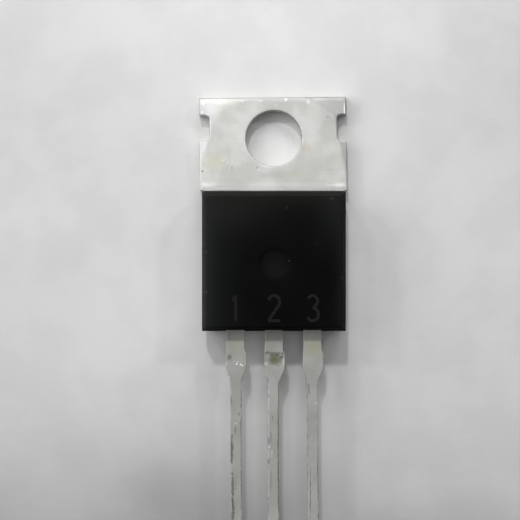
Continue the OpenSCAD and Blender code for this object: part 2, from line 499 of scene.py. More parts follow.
class Nodes:
    """Short forms for building one node tree."""

    def __init__(self, tree: bpy.types.NodeTree) -> None:
        """Keep the tree that the nodes go into."""
        self.tree = tree

    def feed(self, socket: Socket, value: Value) -> None:
        """Link a socket to another socket, or set it to a number, colour or vector.

        Args:
            socket: The socket that takes the value.
            value: The other socket, or the value itself.
        """
        if isinstance(value, bpy.types.NodeSocket):
            self.tree.links.new(value, socket)
        elif isinstance(value, tuple) and len(value) == 3 and socket.type == "RGBA":
            socket.default_value = (*value, 1.0)
        else:
            socket.default_value = value

    def add(self, kind: str, inputs: dict[str | int, Value] | None = None,
            **settings: object) -> bpy.types.Node:
        """Add a node.

        Args:
            kind: The node's type name without "ShaderNode".
            inputs: Values or links for its inputs, by name or number.
            settings: Values for its other properties.

        Returns:
            The node.
        """
        made = self.tree.nodes.new("ShaderNode" + kind)
        for name, setting in settings.items():
            setattr(made, name, setting)
        for key, value in (inputs or {}).items():
            self.feed(made.inputs[key], value)
        return made

    def group(self, tree: bpy.types.NodeTree, **inputs: Value) -> bpy.types.Node:
        """Place a node group.

        Args:
            tree: The group.
            inputs: Values or links for its inputs, by name.

        Returns:
            The node.
        """
        made = self.tree.nodes.new("ShaderNodeGroup")
        made.node_tree = tree
        for name, value in inputs.items():
            self.feed(made.inputs[name], value)
        return made

    def math(self, operation: str, a: Value, b: Value = 0.0, clamp: bool = False) -> Socket:
        """Return the result of an operation on one or two numbers."""
        return self.add("Math", {0: a, 1: b}, operation=operation, use_clamp=clamp).outputs[0]

    def vector(self, operation: str, a: Value, b: Value, out: str = "Vector") -> Socket:
        """Return the result of an operation on two vectors."""
        return self.add("VectorMath", {0: a, 1: b}, operation=operation).outputs[out]

    def span(self, value: Value, start: float, end: float, low: float = 0.0, high: float = 1.0,
             kind: str = "SMOOTHSTEP") -> Socket:
        """Return a value moved from one span to another, and held at its ends."""
        inputs = {"Value": value, "From Min": start, "From Max": end, "To Min": low, "To Max": high}
        return self.add("MapRange", inputs, interpolation_type=kind).outputs["Result"]

    def blend(self, share: Value, a: Value, b: Value) -> Socket:
        """Return a mix of two colours."""
        return self.add("Mix", {0: share, 6: a, 7: b}, data_type="RGBA").outputs[2]

    def noise(self, place: Socket, scale: Value, detail: float = 3.0, roughness: float = 0.55) -> Socket:
        """Return a noise value at a place, from about 0.2 to 0.8."""
        inputs = {"Vector": place, "Scale": scale, "Detail": detail, "Roughness": roughness}
        return self.add("TexNoise", inputs).outputs["Fac"]


class Effects:
    """Shader node groups that several materials share, each built once. Their lengths are millimetres."""

    def __init__(self) -> None:
        """Build the groups."""
        self.grain = self._grain()
        self.scratches = self._scratches()
        self.blot = self._blot()
        self.cloud = self._cloud()
        self.sheared = self._sheared()
        self.edge_wear = self._edge_wear()

    @staticmethod
    def _open(name: str, inputs: dict[str, tuple[str, object]],
              outputs: Sequence[str]) -> tuple[Nodes, dict, dict]:
        """Start a group.

        Args:
            name: The group's name.
            inputs: Each input's socket type and first value.
            outputs: Names of its outputs, all plain numbers.

        Returns:
            The group's nodes, its inputs' sockets and its outputs' sockets, by name.
        """
        tree = bpy.data.node_groups.new(name, "ShaderNodeTree")
        for key, (kind, value) in inputs.items():
            tree.interface.new_socket(key, in_out="INPUT", socket_type=kind).default_value = value
        for key in outputs:
            tree.interface.new_socket(key, in_out="OUTPUT", socket_type="NodeSocketFloat")
        start, end = tree.nodes.new("NodeGroupInput"), tree.nodes.new("NodeGroupOutput")
        return Nodes(tree), {k: start.outputs[k] for k in inputs}, {k: end.inputs[k] for k in outputs}

    @staticmethod
    def place(nodes: Nodes) -> Socket:
        """Return the surface's place on the package in millimetres."""
        where = nodes.add("TexCoord").outputs["Object"]
        return nodes.vector("MULTIPLY", where, (1 / MM, 1 / MM, 1 / MM))

    def _grain(self) -> bpy.types.NodeTree:
        """Build fine and broad unevenness, for bump and for mottling.

        Returns:
            The group.
        """
        nodes, given, made = self._open(
            "grain",
            {"Fine": ("NodeSocketFloat", 12.0), "Broad": ("NodeSocketFloat", 0.6)},
            ("Height", "Mottle"),
        )
        plain, rich = 0.3, 0.7
        place = self.place(nodes)
        broad = nodes.noise(place, given["Broad"], detail=4.0)
        nodes.feed(made["Height"], nodes.noise(place, given["Fine"], detail=4.0, roughness=0.65))
        nodes.feed(made["Mottle"], nodes.span(broad, plain, rich))
        return nodes.tree

    def _scratches(self) -> bpy.types.NodeTree:
        """Build long thin scratches that lie near one direction.

        Returns:
            The group.
        """
        nodes, given, made = self._open(
            "scratches",
            {"Scale": ("NodeSocketFloat", 1.0), "Angle": ("NodeSocketFloat", 0.0),
             "Width": ("NodeSocketFloat", 0.01), "Length": ("NodeSocketFloat", 8.0)},
            ("Mask",),
        )
        patch_per_mm, bare, scratched = 0.8, 0.46, 0.62
        turned = nodes.add("VectorRotate", {"Vector": self.place(nodes), "Angle": given["Angle"]},
                           rotation_type="Z_AXIS").outputs[0]
        across = nodes.add("CombineXYZ", {0: given["Length"], 1: 1.0, 2: 1.0}).outputs[0]
        place = nodes.vector("DIVIDE", turned, across)
        lines = nodes.noise(place, given["Scale"], detail=2.0, roughness=0.5)
        offset = nodes.math("ABSOLUTE", nodes.math("SUBTRACT", lines, 0.5))
        line = nodes.math("SUBTRACT", 1.0, nodes.math("DIVIDE", offset, given["Width"]), clamp=True)
        patches = nodes.span(nodes.noise(turned, patch_per_mm), bare, scratched)
        nodes.feed(made["Mask"], nodes.math("MULTIPLY", line, patches))
        return nodes.tree

    def _blot(self) -> bpy.types.NodeTree:
        """Build one ragged spot at a given place.

        Returns:
            The group.
        """
        nodes, given, made = self._open(
            "blot",
            {"Centre": ("NodeSocketVector", (0.0, 0.0, 0.0)), "Size": ("NodeSocketVector", (1.0, 1.0, 9.0)),
             "Ragged": ("NodeSocketFloat", 0.5)},
            ("Mask",),
        )
        rags_per_mm, rag_reach = 5.0, 3.0
        outside, full = 1.0, 0.5
        place = self.place(nodes)
        away = nodes.vector("DIVIDE", nodes.vector("SUBTRACT", place, given["Centre"]), given["Size"])
        reach = nodes.vector("LENGTH", away, (0.0, 0.0, 0.0), out="Value")
        uneven = nodes.math("SUBTRACT", nodes.noise(place, rags_per_mm), 0.5)
        uneven = nodes.math("MULTIPLY", uneven, rag_reach)
        reach = nodes.math("ADD", reach, nodes.math("MULTIPLY", uneven, given["Ragged"]))
        nodes.feed(made["Mask"], nodes.span(reach, outside, full))
        return nodes.tree

    def _cloud(self) -> bpy.types.NodeTree:
        """Build one soft patch that fades out from a given place.

        Returns:
            The group.
        """
        nodes, given, made = self._open(
            "cloud",
            {"Centre": ("NodeSocketVector", (0.0, 0.0, 0.0)), "Size": ("NodeSocketVector", (1.0, 1.0, 9.0))},
            ("Mask",),
        )
        away = nodes.vector("SUBTRACT", self.place(nodes), given["Centre"])
        away = nodes.vector("DIVIDE", away, given["Size"])
        reach = nodes.vector("DOT_PRODUCT", away, away, out="Value")
        nodes.feed(made["Mask"], nodes.math("POWER", math.e, nodes.math("MULTIPLY", reach, -1.0)))
        return nodes.tree

    def _sheared(self) -> bpy.types.NodeTree:
        """Build the upright streaks of a sheared side wall, and a mask that is 1 on such walls.

        Returns:
            The group.
        """
        nodes, given, made = self._open("sheared", {"Scale": ("NodeSocketFloat", 9.0)}, ("Side", "Streaks"))
        leaning, steep = 0.45, 0.2
        smooth, streaked, drawn_out = 0.35, 0.65, (1.0, 1.0, 0.12)
        normal = nodes.add("NewGeometry").outputs["True Normal"]
        upright = nodes.math("ABSOLUTE", nodes.add("SeparateXYZ", {0: normal}).outputs["Z"])
        nodes.feed(made["Side"], nodes.span(upright, leaning, steep))
        place = nodes.vector("MULTIPLY", self.place(nodes), drawn_out)
        streaks = nodes.noise(place, given["Scale"], roughness=0.6)
        nodes.feed(made["Streaks"], nodes.span(streaks, smooth, streaked))
        return nodes.tree

    def _edge_wear(self) -> bpy.types.NodeTree:
        """Build patchy wear along the edges, from how near each point is to one.

        Returns:
            The group.
        """
        nodes, given, made = self._open(
            "edge_wear",
            {"Scale": ("NodeSocketFloat", 4.0), "Start": ("NodeSocketFloat", 0.5),
             "Patchy": ("NodeSocketFloat", 1.0)},
            ("Mask",),
        )
        sharpness = 4.0
        near = nodes.add("Attribute", attribute_name="edge").outputs["Fac"]
        patch = nodes.math("SUBTRACT", nodes.noise(self.place(nodes), given["Scale"], detail=4.0), 0.5)
        share = nodes.math("ADD", 1.0, nodes.math("MULTIPLY", patch, given["Patchy"]))
        level = nodes.math("MULTIPLY", near, share)
        past = nodes.math("SUBTRACT", level, given["Start"])
        nodes.feed(made["Mask"], nodes.math("MULTIPLY", past, sharpness, clamp=True))
        return nodes.tree


@dataclass(frozen=True)
class Spot:
    """A stain or worn place on a front face, in millimetres. With ragged at 0 it fades out softly."""

    centre: tuple[float, float]
    size: tuple[float, float]
    colour: tuple[float, float, float]
    strength: float
    ragged: float = 0.5


@dataclass(frozen=True)
class Finish:
    """What all finishes share: a name, the groups they may use, and the surface's plain values.

    The spots lie on a face at the given height, and reach as deep as spot_depth below and above it.
    """

    name: str
    effects: Effects
    colour: tuple[float, float, float]
    roughness: float
    metallic: float = 0.0
    face: float = 0.0
    spots: tuple[Spot, ...] = ()
    spot_depth: float = 9.0

    def start(self) -> tuple[bpy.types.Material, Nodes, bpy.types.Node]:
        """Start the material.

        Returns:
            The material, its nodes and its main shader.
        """
        material = bpy.data.materials.new(self.name)
        material.use_nodes = True
        nodes = Nodes(material.node_tree)
        shader = material.node_tree.nodes["Principled BSDF"]
        shader.inputs["Metallic"].default_value = self.metallic
        shader.inputs["Roughness"].default_value = self.roughness
        shader.inputs["Base Color"].default_value = (*self.colour, 1.0)
        return material, nodes, shader

    @staticmethod
    def bump(nodes: Nodes, shader: bpy.types.Node, height: Socket, depth: float) -> None:
        """Let a height from 0 to 1 stand for a relief of that many millimetres."""
        made = nodes.add("Bump", {"Height": height, "Strength": 1.0, "Distance": depth * MM})
        nodes.feed(shader.inputs["Normal"], made.outputs["Normal"])

    def spotted(self, nodes: Nodes, colour: Socket) -> Socket:
        """Lay the spots over a colour.

        Args:
            nodes: The material's nodes.
            colour: The colour so far.

        Returns:
            The new colour.
        """
        for spot in self.spots:
            inputs = {"Centre": (*spot.centre, self.face), "Size": (*spot.size, self.spot_depth)}
            if spot.ragged:
                patch = nodes.group(self.effects.blot, Ragged=spot.ragged, **inputs)
            else:
                patch = nodes.group(self.effects.cloud, **inputs)
            share = nodes.math("MULTIPLY", patch.outputs["Mask"], spot.strength)
            colour = nodes.blend(share, colour, spot.colour)
        return colour


@dataclass(frozen=True)
class TinPlate(Finish):
    """Matt tin over stamped copper, with scratches, stains and brighter worn edges, and a painted sheen on
    the left and painted shade on the right of the pressed areas.
    """

    stain: tuple[float, float, float] = (0.5, 0.49, 0.43)
    bright: tuple[float, float, float] = (0.92, 0.92, 0.9)
    fine: float = 14.0
    relief: float = 0.004
    mottling: float = 0.35
    scratch_angles: tuple[float, ...] = (0.1, 1.2)
    # Painted sheen for the left and painted shade for the right of the pressed areas.
    painted_sheen_left: tuple[float, float, float] = (0.58, 0.58, 0.57)
    painted_shade_right: tuple[float, float, float] = (0.47, 0.47, 0.46)
    cut: tuple[float, float, float] = (0.5, 0.49, 0.47)
    cut_dark: tuple[float, float, float] = (0.37, 0.36, 0.34)
    pressed_turn: float = 1.0
    worn_share: float = 0.5
    worn_polish: float = 0.1
    rough_spread: float = 0.06
    scratch_share: float = 0.25
    scratch_depth: float = 0.8
    nick: tuple[float, float, float] = (0.12, 0.115, 0.105)
    nicks: float = 0.0
    nicks_from: float = -15.6
    nicks_fade: float = 0.8
    nicks_least: float = 0.2

    def edges(self, nodes: Nodes, colour: Socket, wear: Socket) -> Socket:
        """Lay bright wear and dark nicks along the edges.

        Args:
            nodes: The material's nodes.
            colour: The colour so far.
            wear: How worn each place is.

        Returns:
            The new colour.
        """
        colour = nodes.blend(nodes.math("MULTIPLY", wear, self.worn_share), colour, self.bright)
        if not self.nicks:
            return colour
        nick = nodes.group(self.effects.edge_wear, Scale=1.3, Start=0.95, Patchy=7.0).outputs["Mask"]
        along = nodes.add("SeparateXYZ", {0: self.effects.place(nodes)}).outputs["Y"]
        share = nodes.span(along, self.nicks_from + self.nicks_fade, self.nicks_from - self.nicks_fade,
                           self.nicks_least * self.nicks, self.nicks)
        return nodes.blend(nodes.math("MULTIPLY", nick, share), colour, self.nick)

    def material(self) -> bpy.types.Material:
        """Build the material.

        Returns:
            The material.
        """
        material, nodes, shader = self.start()
        grain = nodes.group(self.effects.grain, Fine=self.fine, Broad=0.5)
        mottle = nodes.math("MULTIPLY", grain.outputs["Mottle"], self.mottling)
        colour = nodes.blend(mottle, self.colour, self.stain)
        across = nodes.add("SeparateXYZ", {0: self.effects.place(nodes)}).outputs["X"]
        # Painted sheen on the left and painted shade on the right, over the pressed areas outside the crease.
        pressed = nodes.add("Attribute", attribute_name="pressed").outputs["Fac"]
        right = nodes.span(across, -self.pressed_turn, self.pressed_turn)
        sides = nodes.blend(right, self.painted_sheen_left, self.painted_shade_right)
        colour = self.spotted(nodes, nodes.blend(pressed, colour, sides))
        cut = nodes.group(self.effects.sheared, Scale=7.0)
        wall = nodes.blend(cut.outputs["Streaks"], self.cut, self.cut_dark)
        colour = nodes.blend(cut.outputs["Side"], colour, wall)
        wear = nodes.group(self.effects.edge_wear, Scale=3.0, Start=0.62).outputs["Mask"]
        colour = self.edges(nodes, colour, wear)
        streaks = nodes.math("MULTIPLY", cut.outputs["Side"], cut.outputs["Streaks"])
        height = nodes.math("ADD", grain.outputs["Height"], streaks)
        for angle in self.scratch_angles:
            group = nodes.group(self.effects.scratches, Scale=1.6, Angle=angle, Width=0.006, Length=14.0)
            scratch = group.outputs["Mask"]
            height = nodes.math("SUBTRACT", height, nodes.math("MULTIPLY", scratch, self.scratch_depth))
            colour = nodes.blend(nodes.math("MULTIPLY", scratch, self.scratch_share), colour, self.bright)
        nodes.feed(shader.inputs["Base Color"], colour)
        smoothest, roughest = self.roughness - self.rough_spread, self.roughness + self.rough_spread
        rough = nodes.span(grain.outputs["Mottle"], 0.0, 1.0, smoothest, roughest)
        rough = nodes.math("SUBTRACT", rough, nodes.math("MULTIPLY", wear, self.worn_polish))
        nodes.feed(shader.inputs["Roughness"], rough)
        self.bump(nodes, shader, height, self.relief)
        return material


@dataclass(frozen=True)
class MouldingCompound(Finish):
    """Black moulding compound: a fine eroded grain, haze, worn edges, faint scratches and dust."""

    haze: tuple[float, float, float] = (0.0085, 0.0089, 0.0087)
    haze_share: float = 0.2
    worn: tuple[float, float, float] = (0.03, 0.031, 0.03)
    worn_share: float = 0.3
    scratch_share: float = 0.15
    rough_spread: float = 0.05
    gloss: float = 0.01
    relief: float = 0.006

    def material(self) -> bpy.types.Material:
        """Build the material.

        Returns:
            The material.
        """
        material, nodes, shader = self.start()
        shader.inputs["Specular IOR Level"].default_value = self.gloss
        grain = nodes.group(self.effects.grain, Fine=26.0, Broad=0.35)
        hazy = nodes.math("MULTIPLY", grain.outputs["Mottle"], self.haze_share)
        colour = self.spotted(nodes, nodes.blend(hazy, self.colour, self.haze))
        wear = nodes.group(self.effects.edge_wear, Scale=2.2, Start=0.8).outputs["Mask"]
        scratch = nodes.group(self.effects.scratches, Scale=0.7, Angle=0.7, Width=0.003, Length=8.0)
        worn = nodes.math("MAXIMUM", nodes.math("MULTIPLY", wear, self.worn_share),
                          nodes.math("MULTIPLY", scratch.outputs["Mask"], self.scratch_share))
        nodes.feed(shader.inputs["Base Color"], nodes.blend(worn, colour, self.worn))
        rough = nodes.math("MULTIPLY", grain.outputs["Mottle"], 2 * self.rough_spread)
        nodes.feed(shader.inputs["Roughness"], nodes.math("ADD", self.roughness - self.rough_spread, rough))
        self.bump(nodes, shader, grain.outputs["Height"], self.relief)
        return material


@dataclass(frozen=True)
class EtchedMark(Finish):
    """Grey surface left where a laser roughened the black compound."""

    gloss: float = 0.1
    relief: float = 0.008
    dark_share: float = 0.45
    burnt: float = 0.35
    grey: float = 0.6

    def material(self) -> bpy.types.Material:
        """Build the material.

        Returns:
            The material.
        """
        material, nodes, shader = self.start()
        shader.inputs["Specular IOR Level"].default_value = self.gloss
        grain = nodes.group(self.effects.grain, Fine=22.0, Broad=3.0)
        share = nodes.span(grain.outputs["Height"], self.burnt, self.grey)
        dark = tuple(c * self.dark_share for c in self.colour)
        nodes.feed(shader.inputs["Base Color"], nodes.blend(share, dark, self.colour))
        self.bump(nodes, shader, grain.outputs["Height"], self.relief)
        return material


@dataclass(frozen=True)
class InnerMetal(Finish):
    """Plain metal or silicon of the sealed pieces, with a light grain."""

    fine: float = 10.0
    relief: float = 0.002
    dark_share: float = 0.8

    def material(self) -> bpy.types.Material:
        """Build the material.

        Returns:
            The material.
        """
        material, nodes, shader = self.start()
        grain = nodes.group(self.effects.grain, Fine=self.fine, Broad=2.0)
        darker = tuple(c * self.dark_share for c in self.colour)
        nodes.feed(shader.inputs["Base Color"], nodes.blend(grain.outputs["Mottle"], self.colour, darker))
        self.bump(nodes, shader, grain.outputs["Height"], self.relief)
        return material


@dataclass(frozen=True)
class Shade:
    """A soft patch of painted light or shade on the paper, in millimetres."""

    centre: tuple[float, float]
    size: tuple[float, float]
    gain: float


@dataclass(frozen=True)
class PaperSheet(Finish):
    """White paper whose colour carries painted light: a painted falloff that gets paler from foot to top, and
    soft patches of painted light and shade.

    foot and top are places along the paper, each with its grey level, and foot_lean and top_lean say
    how much that level rises there for each millimetre to the right, as far as lean_reach.
    """

    foot: tuple[float, float] = (-26.0, 0.52)
    top: tuple[float, float] = (-5.0, 0.69)
    foot_lean: float = 0.0022
    top_lean: float = -0.0012
    lean_reach: float = 20.0
    mottle: tuple[float, float] = (0.965, 1.03)
    gloss: float = 0.1
    relief: float = 0.02
    shades: tuple[Shade, ...] = (
        # A painted pool of light round the tab, then further patches of painted light and shade.
        Shade((-1.5, 7.0), (11.0, 7.0), 0.08),
        Shade((-20.0, 4.0), (10.0, 13.0), -0.05),
        Shade((-1.0, 9.5), (60.0, 4.5), 0.045),
        Shade((17.5, 5.5), (5.5, 7.5), -0.055),
        # Painted light beside the body, lifting the shade that the body casts on the paper.
        Shade((5.0, -9.0), (2.4, 4.8), 0.11),
        Shade((-7.5, -10.8), (3.6, 3.2), 0.065),
        Shade((-12.0, -14.5), (7.0, 4.0), 0.04),
        Shade((-17.0, -17.5), (8.0, 5.0), 0.03),
        Shade((-7.5, -23.5), (3.5, 2.0), -0.06),
        Shade((-3.2, -26.0), (5.5, 4.5), -0.13),
        Shade((12.0, -26.5), (7.0, 2.0), -0.06),
        Shade((0.0, -29.0), (60.0, 6.0), -0.07),
    )

    def material(self) -> bpy.types.Material:
        """Build the material.

        Returns:
            The material.
        """
        material, nodes, shader = self.start()
        shader.inputs["Specular IOR Level"].default_value = self.gloss
        parts = nodes.add("SeparateXYZ", {0: self.effects.place(nodes)})
        # Painted falloff of light: the grey level rises from foot to top and leans across the paper.
        (foot, foot_level), (top, top_level) = self.foot, self.top
        level = nodes.span(parts.outputs["Y"], foot, top, foot_level, top_level, "LINEAR")
        lean = nodes.span(parts.outputs["Y"], foot, top, self.foot_lean, self.top_lean, "LINEAR")
        across = nodes.math("MAXIMUM", parts.outputs["X"], -self.lean_reach)
        across = nodes.math("MINIMUM", across, self.lean_reach)
        level = nodes.math("ADD", level, nodes.math("MULTIPLY", across, lean))
        for shade in self.shades:
            cloud = nodes.group(self.effects.cloud, Centre=(*shade.centre, 0.0), Size=(*shade.size, 1.0))
            level = nodes.math("ADD", level, nodes.math("MULTIPLY", cloud.outputs["Mask"], shade.gain))
        grain = nodes.group(self.effects.grain, Fine=2.2, Broad=0.22)
        grey = nodes.math("MULTIPLY", level, nodes.span(grain.outputs["Mottle"], 0.0, 1.0, *self.mottle))
        tint = nodes.add("CombineColor", {0: grey, 1: grey, 2: grey}).outputs[0]
        nodes.feed(shader.inputs["Base Color"], tint)
        self.bump(nodes, shader, grain.outputs["Height"], self.relief)
        return material


@dataclass
class Crease:
    """Where the stamping pressed the tab's front down towards its notches and free corners."""

    half_w: float = 4.36
    lean: float = 0.2
    corner_from: float = 1.4
    corner_pull: float = 1.18
    corner_power: float = 1.46
    slope: float = 0.07
    soft: float = 0.06

    def past(self, x: np.ndarray, y: np.ndarray) -> np.ndarray:
        """Return how far outside the crease line points lie.

        Args:
            x: Places across the package.
            y: Places along the package.

        Returns:
            The distances in millimetres, negative on the flat middle.
        """
        along = np.maximum(y - self.corner_from, 0.0)
        pull = self.corner_pull * along ** self.corner_power
        steep = self.lean + self.corner_pull * self.corner_power * along ** (self.corner_power - 1)
        return (np.abs(x) - (self.half_w - self.lean * y - pull)) / np.sqrt(1 + steep ** 2)

    def drop(self, x: np.ndarray, y: np.ndarray) -> np.ndarray:
        """Return how far the front face lies below flat at some places."""
        return self.slope * self.soft * np.logaddexp(0.0, self.past(x, y) / self.soft)


@dataclass
class HeatSink:
    """The tab, the chip pad behind it, the bent neck and the middle lead, as one piece.

    lap and weld_drop let the lead's strip overlap the pad, so that the two can be welded to one solid.
    The bead is what the mould squeezed up along the body, the roll is where the punch rounded the front,
    and seam_tuck is how far the body covers the tab's plate at their seam.
    """

    package: Package
    crease: Crease = field(default_factory=Crease)
    step: float = 0.12
    spacing: float = 0.12
    hole_points: int = 112
    front_r: float = 0.05
    back_r: float = 0.04
    hole_edge_share: float = 0.7
    wall_level: float = 0.6
    lap: float = 0.25
    weld_drop: float = 0.01
    stubs: tuple[float, float] = (0.4, 1.0)
    lead_seed: float = 8.0
    turn: float = 0.011
    rolled: float = 0.09
    leaned: float = 0.08
    lean_from: float = 3.6
    lean_w: float = 1.2
    roll_w: float = 0.26
    roll_drop: float = 0.055
    scallop: float = 0.7
    scallops_per_mm: float = 1.3
    scallop_seed: float = 4.0
    hole_roll_w: float = 0.1
    hole_roll_drop: float = 0.015
    bead_h: float = 0.008
    bead_end_h: float = 0.02
    bead_end_from: float = 3.4
    bead_end_w: float = 0.8
    bead_from: float = 0.3
    bead_w: float = 0.13
    seam_w: float = 0.3
    seam_tuck: float = 0.15
    side_clear: float = 0.1
    side_fade: float = 0.05
    waves_per_mm: float = 0.9
    wave_depth: float = 0.007
    wave_seed: float = 3.0
    pressed_fade: float = 0.12
    front_from: float = 0.7
    lead_sway: tuple[tuple[float, float], ...] = (
        (0.0, 0.0), (2.4, 0.0), (4.0, -0.05), (8.0, -0.06), (13.2, 0.0),
    )

    def notch(self, pen: LoopPen, side: int) -> None:
        """Draw one side notch, upwards on the right side and downwards on the left.

        Args:
            pen: The pen that draws the tab's outline.
            side: 1 for the right side, -1 for the left.
        """
        p = self.package
        edge, deep = p.tab_w / 2, p.tab_w / 2 - p.notch_d
        high = p.tab_end - p.notch_from_end
        low = high - p.notch_h
        if side > 0:
            pen.to((edge, low)).arc((deep + p.notch_r, low + p.notch_r), p.notch_r, 270, 180)
            pen.arc((deep + p.notch_r, high - p.notch_r), p.notch_r, 180, 90).to((edge, high))
        else:
            pen.to((-edge, high)).arc((-deep - p.notch_r, high - p.notch_r), p.notch_r, 90, 0)
            pen.arc((-deep - p.notch_r, low + p.notch_r), p.notch_r, 0, -90).to((-edge, low))

    def plate_loops(self) -> list[np.ndarray]:
        """Draw the tab and the chip pad in plan.

        Returns:
            Their outline, and the mounting hole.
        """
        p = self.package
        edge, pad, cut = p.tab_w / 2, p.pad_w / 2, p.pad_chamfer
        pen = LoopPen(self.step)
        pen.to((-pad, p.body_top), (-pad, p.pad_foot + cut), (cut - pad, p.pad_foot))
        pen.to((pad - cut, p.pad_foot), (pad, p.pad_foot + cut), (pad, p.body_top), (edge, p.body_top))
        self.notch(pen, 1)
        pen.to((edge, p.tab_end), (-edge, p.tab_end))
        self.notch(pen, -1)
        pen.to((-edge, p.body_top))
        return [pen.loop(), circle_loop((0.0, 0.0), p.hole_r, self.hole_points, hole=True)]

    def lead_loop(self, neck: float) -> np.ndarray:
        """Draw the neck and the middle lead in plan.

        Args:
            neck: Where the neck ends along the package.

        Returns:
            Their outline.
        """
        p = self.package
        wide, joint = p.neck_w / 2, p.pad_foot - p.neck_flat - p.neck_run
        pen = LoopPen(self.step)
        pen.to((-wide, neck), (-wide, joint), (-p.root_w / 2, joint))
        lead_side(pen, p, 0.0, -1, self.stubs[0])
        lead_side(pen, p, 0.0, 1, self.stubs[1])
        pen.to((p.root_w / 2, joint), (wide, joint), (wide, neck))
        return pen.loop()

    def bead(self, x: np.ndarray, run: np.ndarray) -> np.ndarray:
        """Return how high the bead along the body stands.

        Args:
            x: Places across the package.
            run: Distances from the body.

        Returns:
            The heights, which are larger towards the bead's two ends.
        """
        ends = np.clip((np.abs(x) - self.bead_end_from) / self.bead_end_w, 0, 1)
        crest = np.exp(-((run - self.bead_from) / self.bead_w) ** 2)
        on_front = (np.abs(x) < self.package.tab_w / 2 - self.side_clear) * (run > 0)
        return (self.bead_h + self.bead_end_h * ends) * crest * on_front

    def roll(self, x: np.ndarray, y: np.ndarray) -> np.ndarray:
        """Return how far the front is rounded down, unevenly at the free end and evenly at the hole.

        Args:
            x: Places across the package.
            y: Places along the package.

        Returns:
            The depths.
        """
        p = self.package
        uneven = [noise.noise((at * self.scallops_per_mm, self.scallop_seed, 0.0)) for at in x]
        width = self.roll_w * (1 + self.scallop * np.array(uneven))
        end = np.clip(1 - (p.tab_end - y) / width, 0, 1)
        rim = np.clip(1 - (np.hypot(x, y) - p.hole_r) / self.hole_roll_w, 0, 1)
        return self.roll_drop * end ** 2 + self.hole_roll_drop * rim ** 2

    def shape_plate(self, points: np.ndarray) -> np.ndarray:
        """Give the plate its undercut pad, pressed front, leaning side edges and bead along the body.

        Args:
            points: The flat plate's points in millimetres.

        Returns:
            The moved points.
        """
        p = self.package
        x, y, z = points.T.copy()
        on_pad = (y < p.body_top + SLACK) & (np.abs(x) < p.pad_w / 2 + SLACK)
        under = p.lock_step * np.clip((p.lock_h - z) / p.lock_step, 0, 1)
        x = np.where(on_pad, x * (1 - under / (p.pad_w / 2)), x)
        seam = np.clip(1 - np.abs(y - p.body_top) / self.seam_w, 0, 1)
        covered = np.clip((p.body_w / 2 - self.side_clear - np.abs(x)) / self.side_fade, 0, 1)
        y = y - self.seam_tuck * seam * covered
        run = np.clip(y - p.body_top, 0.0, None)
        shown, front = np.clip(run / self.seam_w, 0, 1), z / p.tab_t
        z = z + front * (self.bead(x, run) - self.roll(x, y) - self.crease.drop(x, y) * shown)
        high = np.clip(run / (p.tab_end - p.body_top), 0, 1)
        x = x - self.rolled * high * front * np.clip((x - self.lean_from) / self.lean_w, 0, 1)
        x = x - self.leaned * high * np.clip((-x - self.lean_from) / self.lean_w, 0, 1)
        y = y + self.turn * x * high
        even = np.column_stack([x, y, z])
        rough = ripple(even, self.waves_per_mm, self.wave_depth, self.wave_seed)
        rough[:, 2] = np.where(points[:, 2] < SAME, 0.0, np.maximum(rough[:, 2], 0.0))
        return np.where((shown > 0)[:, None], rough, even)

    def shape_lead(self, points: np.ndarray) -> np.ndarray:
        """Bend the strip up from the pad to the plane of the leads, and sway its thin end.

        Args:
            points: The flat strip's points in millimetres.

        Returns:
            The moved points.
        """
        p = self.package
        x, y, z = points.T.copy()
        rise = p.lead_front - p.tab_t
        climb = np.clip((p.pad_foot - p.neck_flat - y) / p.neck_run, 0, 1)
        sway = np.interp(p.body_foot - y, *zip(*self.lead_sway))
        return burred(np.column_stack([x + sway, y, z - rise * (1 - climb)]), self.lead_seed)

    def build(self) -> bpy.types.Object:
        """Build the piece.

        Returns:
            The piece.
        """
        p = self.package
        plate, strip = Solid(), Solid()
        levels = (p.lock_h - p.lock_step, p.lock_h, p.tab_t * self.wall_level)
        plate.plate(self.plate_loops(), 0.0, p.tab_t, self.back_r, self.front_r, self.spacing,
                    levels=levels, hole_share=self.hole_edge_share)
        piece = plate.make("heat_sink_metal", self.shape_plate, np.zeros(len(plate.points)))
        back, front = p.lead_z - self.weld_drop, p.lead_front - self.weld_drop
        strip.plate([self.lead_loop(p.pad_foot + self.lap)], back, front, LEAD_EDGE_R, LEAD_EDGE_R,
                    self.spacing)
        weld(piece, strip.make("drain_strip", self.shape_lead, np.zeros(len(strip.points))))
        return piece

    def mark_faces(self, piece: bpy.types.Object) -> None:
        """Give the lead's faces the second material, and note how near points are to edges and creases.

        Args:
            piece: The heat sink.
        """
        p = self.package
        for face in piece.data.polygons:
            face.material_index = int(face.center.y < p.body_top * MM)
        points = np.array([vertex.co[:] for vertex in piece.data.vertices]) / MM
        tab, lead = points[:, 1] > p.body_top, points[:, 1] < p.body_foot
        edge = np.zeros(len(points))
        edge[tab] = edge_share(points[tab], self.plate_loops(), 0.0, p.tab_t)
        edge[lead] = edge_share(points[lead], [self.lead_loop(p.pad_foot)], p.lead_z, p.lead_front)
        piece.data.attributes["edge"].data.foreach_set("value", edge.astype(np.float32))
        # This mask places the tab's painted sheen and painted shade.
        past = self.crease.past(points[:, 0], points[:, 1]) / self.pressed_fade + 0.5
        shown = tab & (points[:, 2] > p.tab_t * self.front_from)
        pressed = piece.data.attributes.new("pressed", "FLOAT", "POINT")
        pressed.data.foreach_set("value", (np.clip(past, 0, 1) * shown).astype(np.float32))


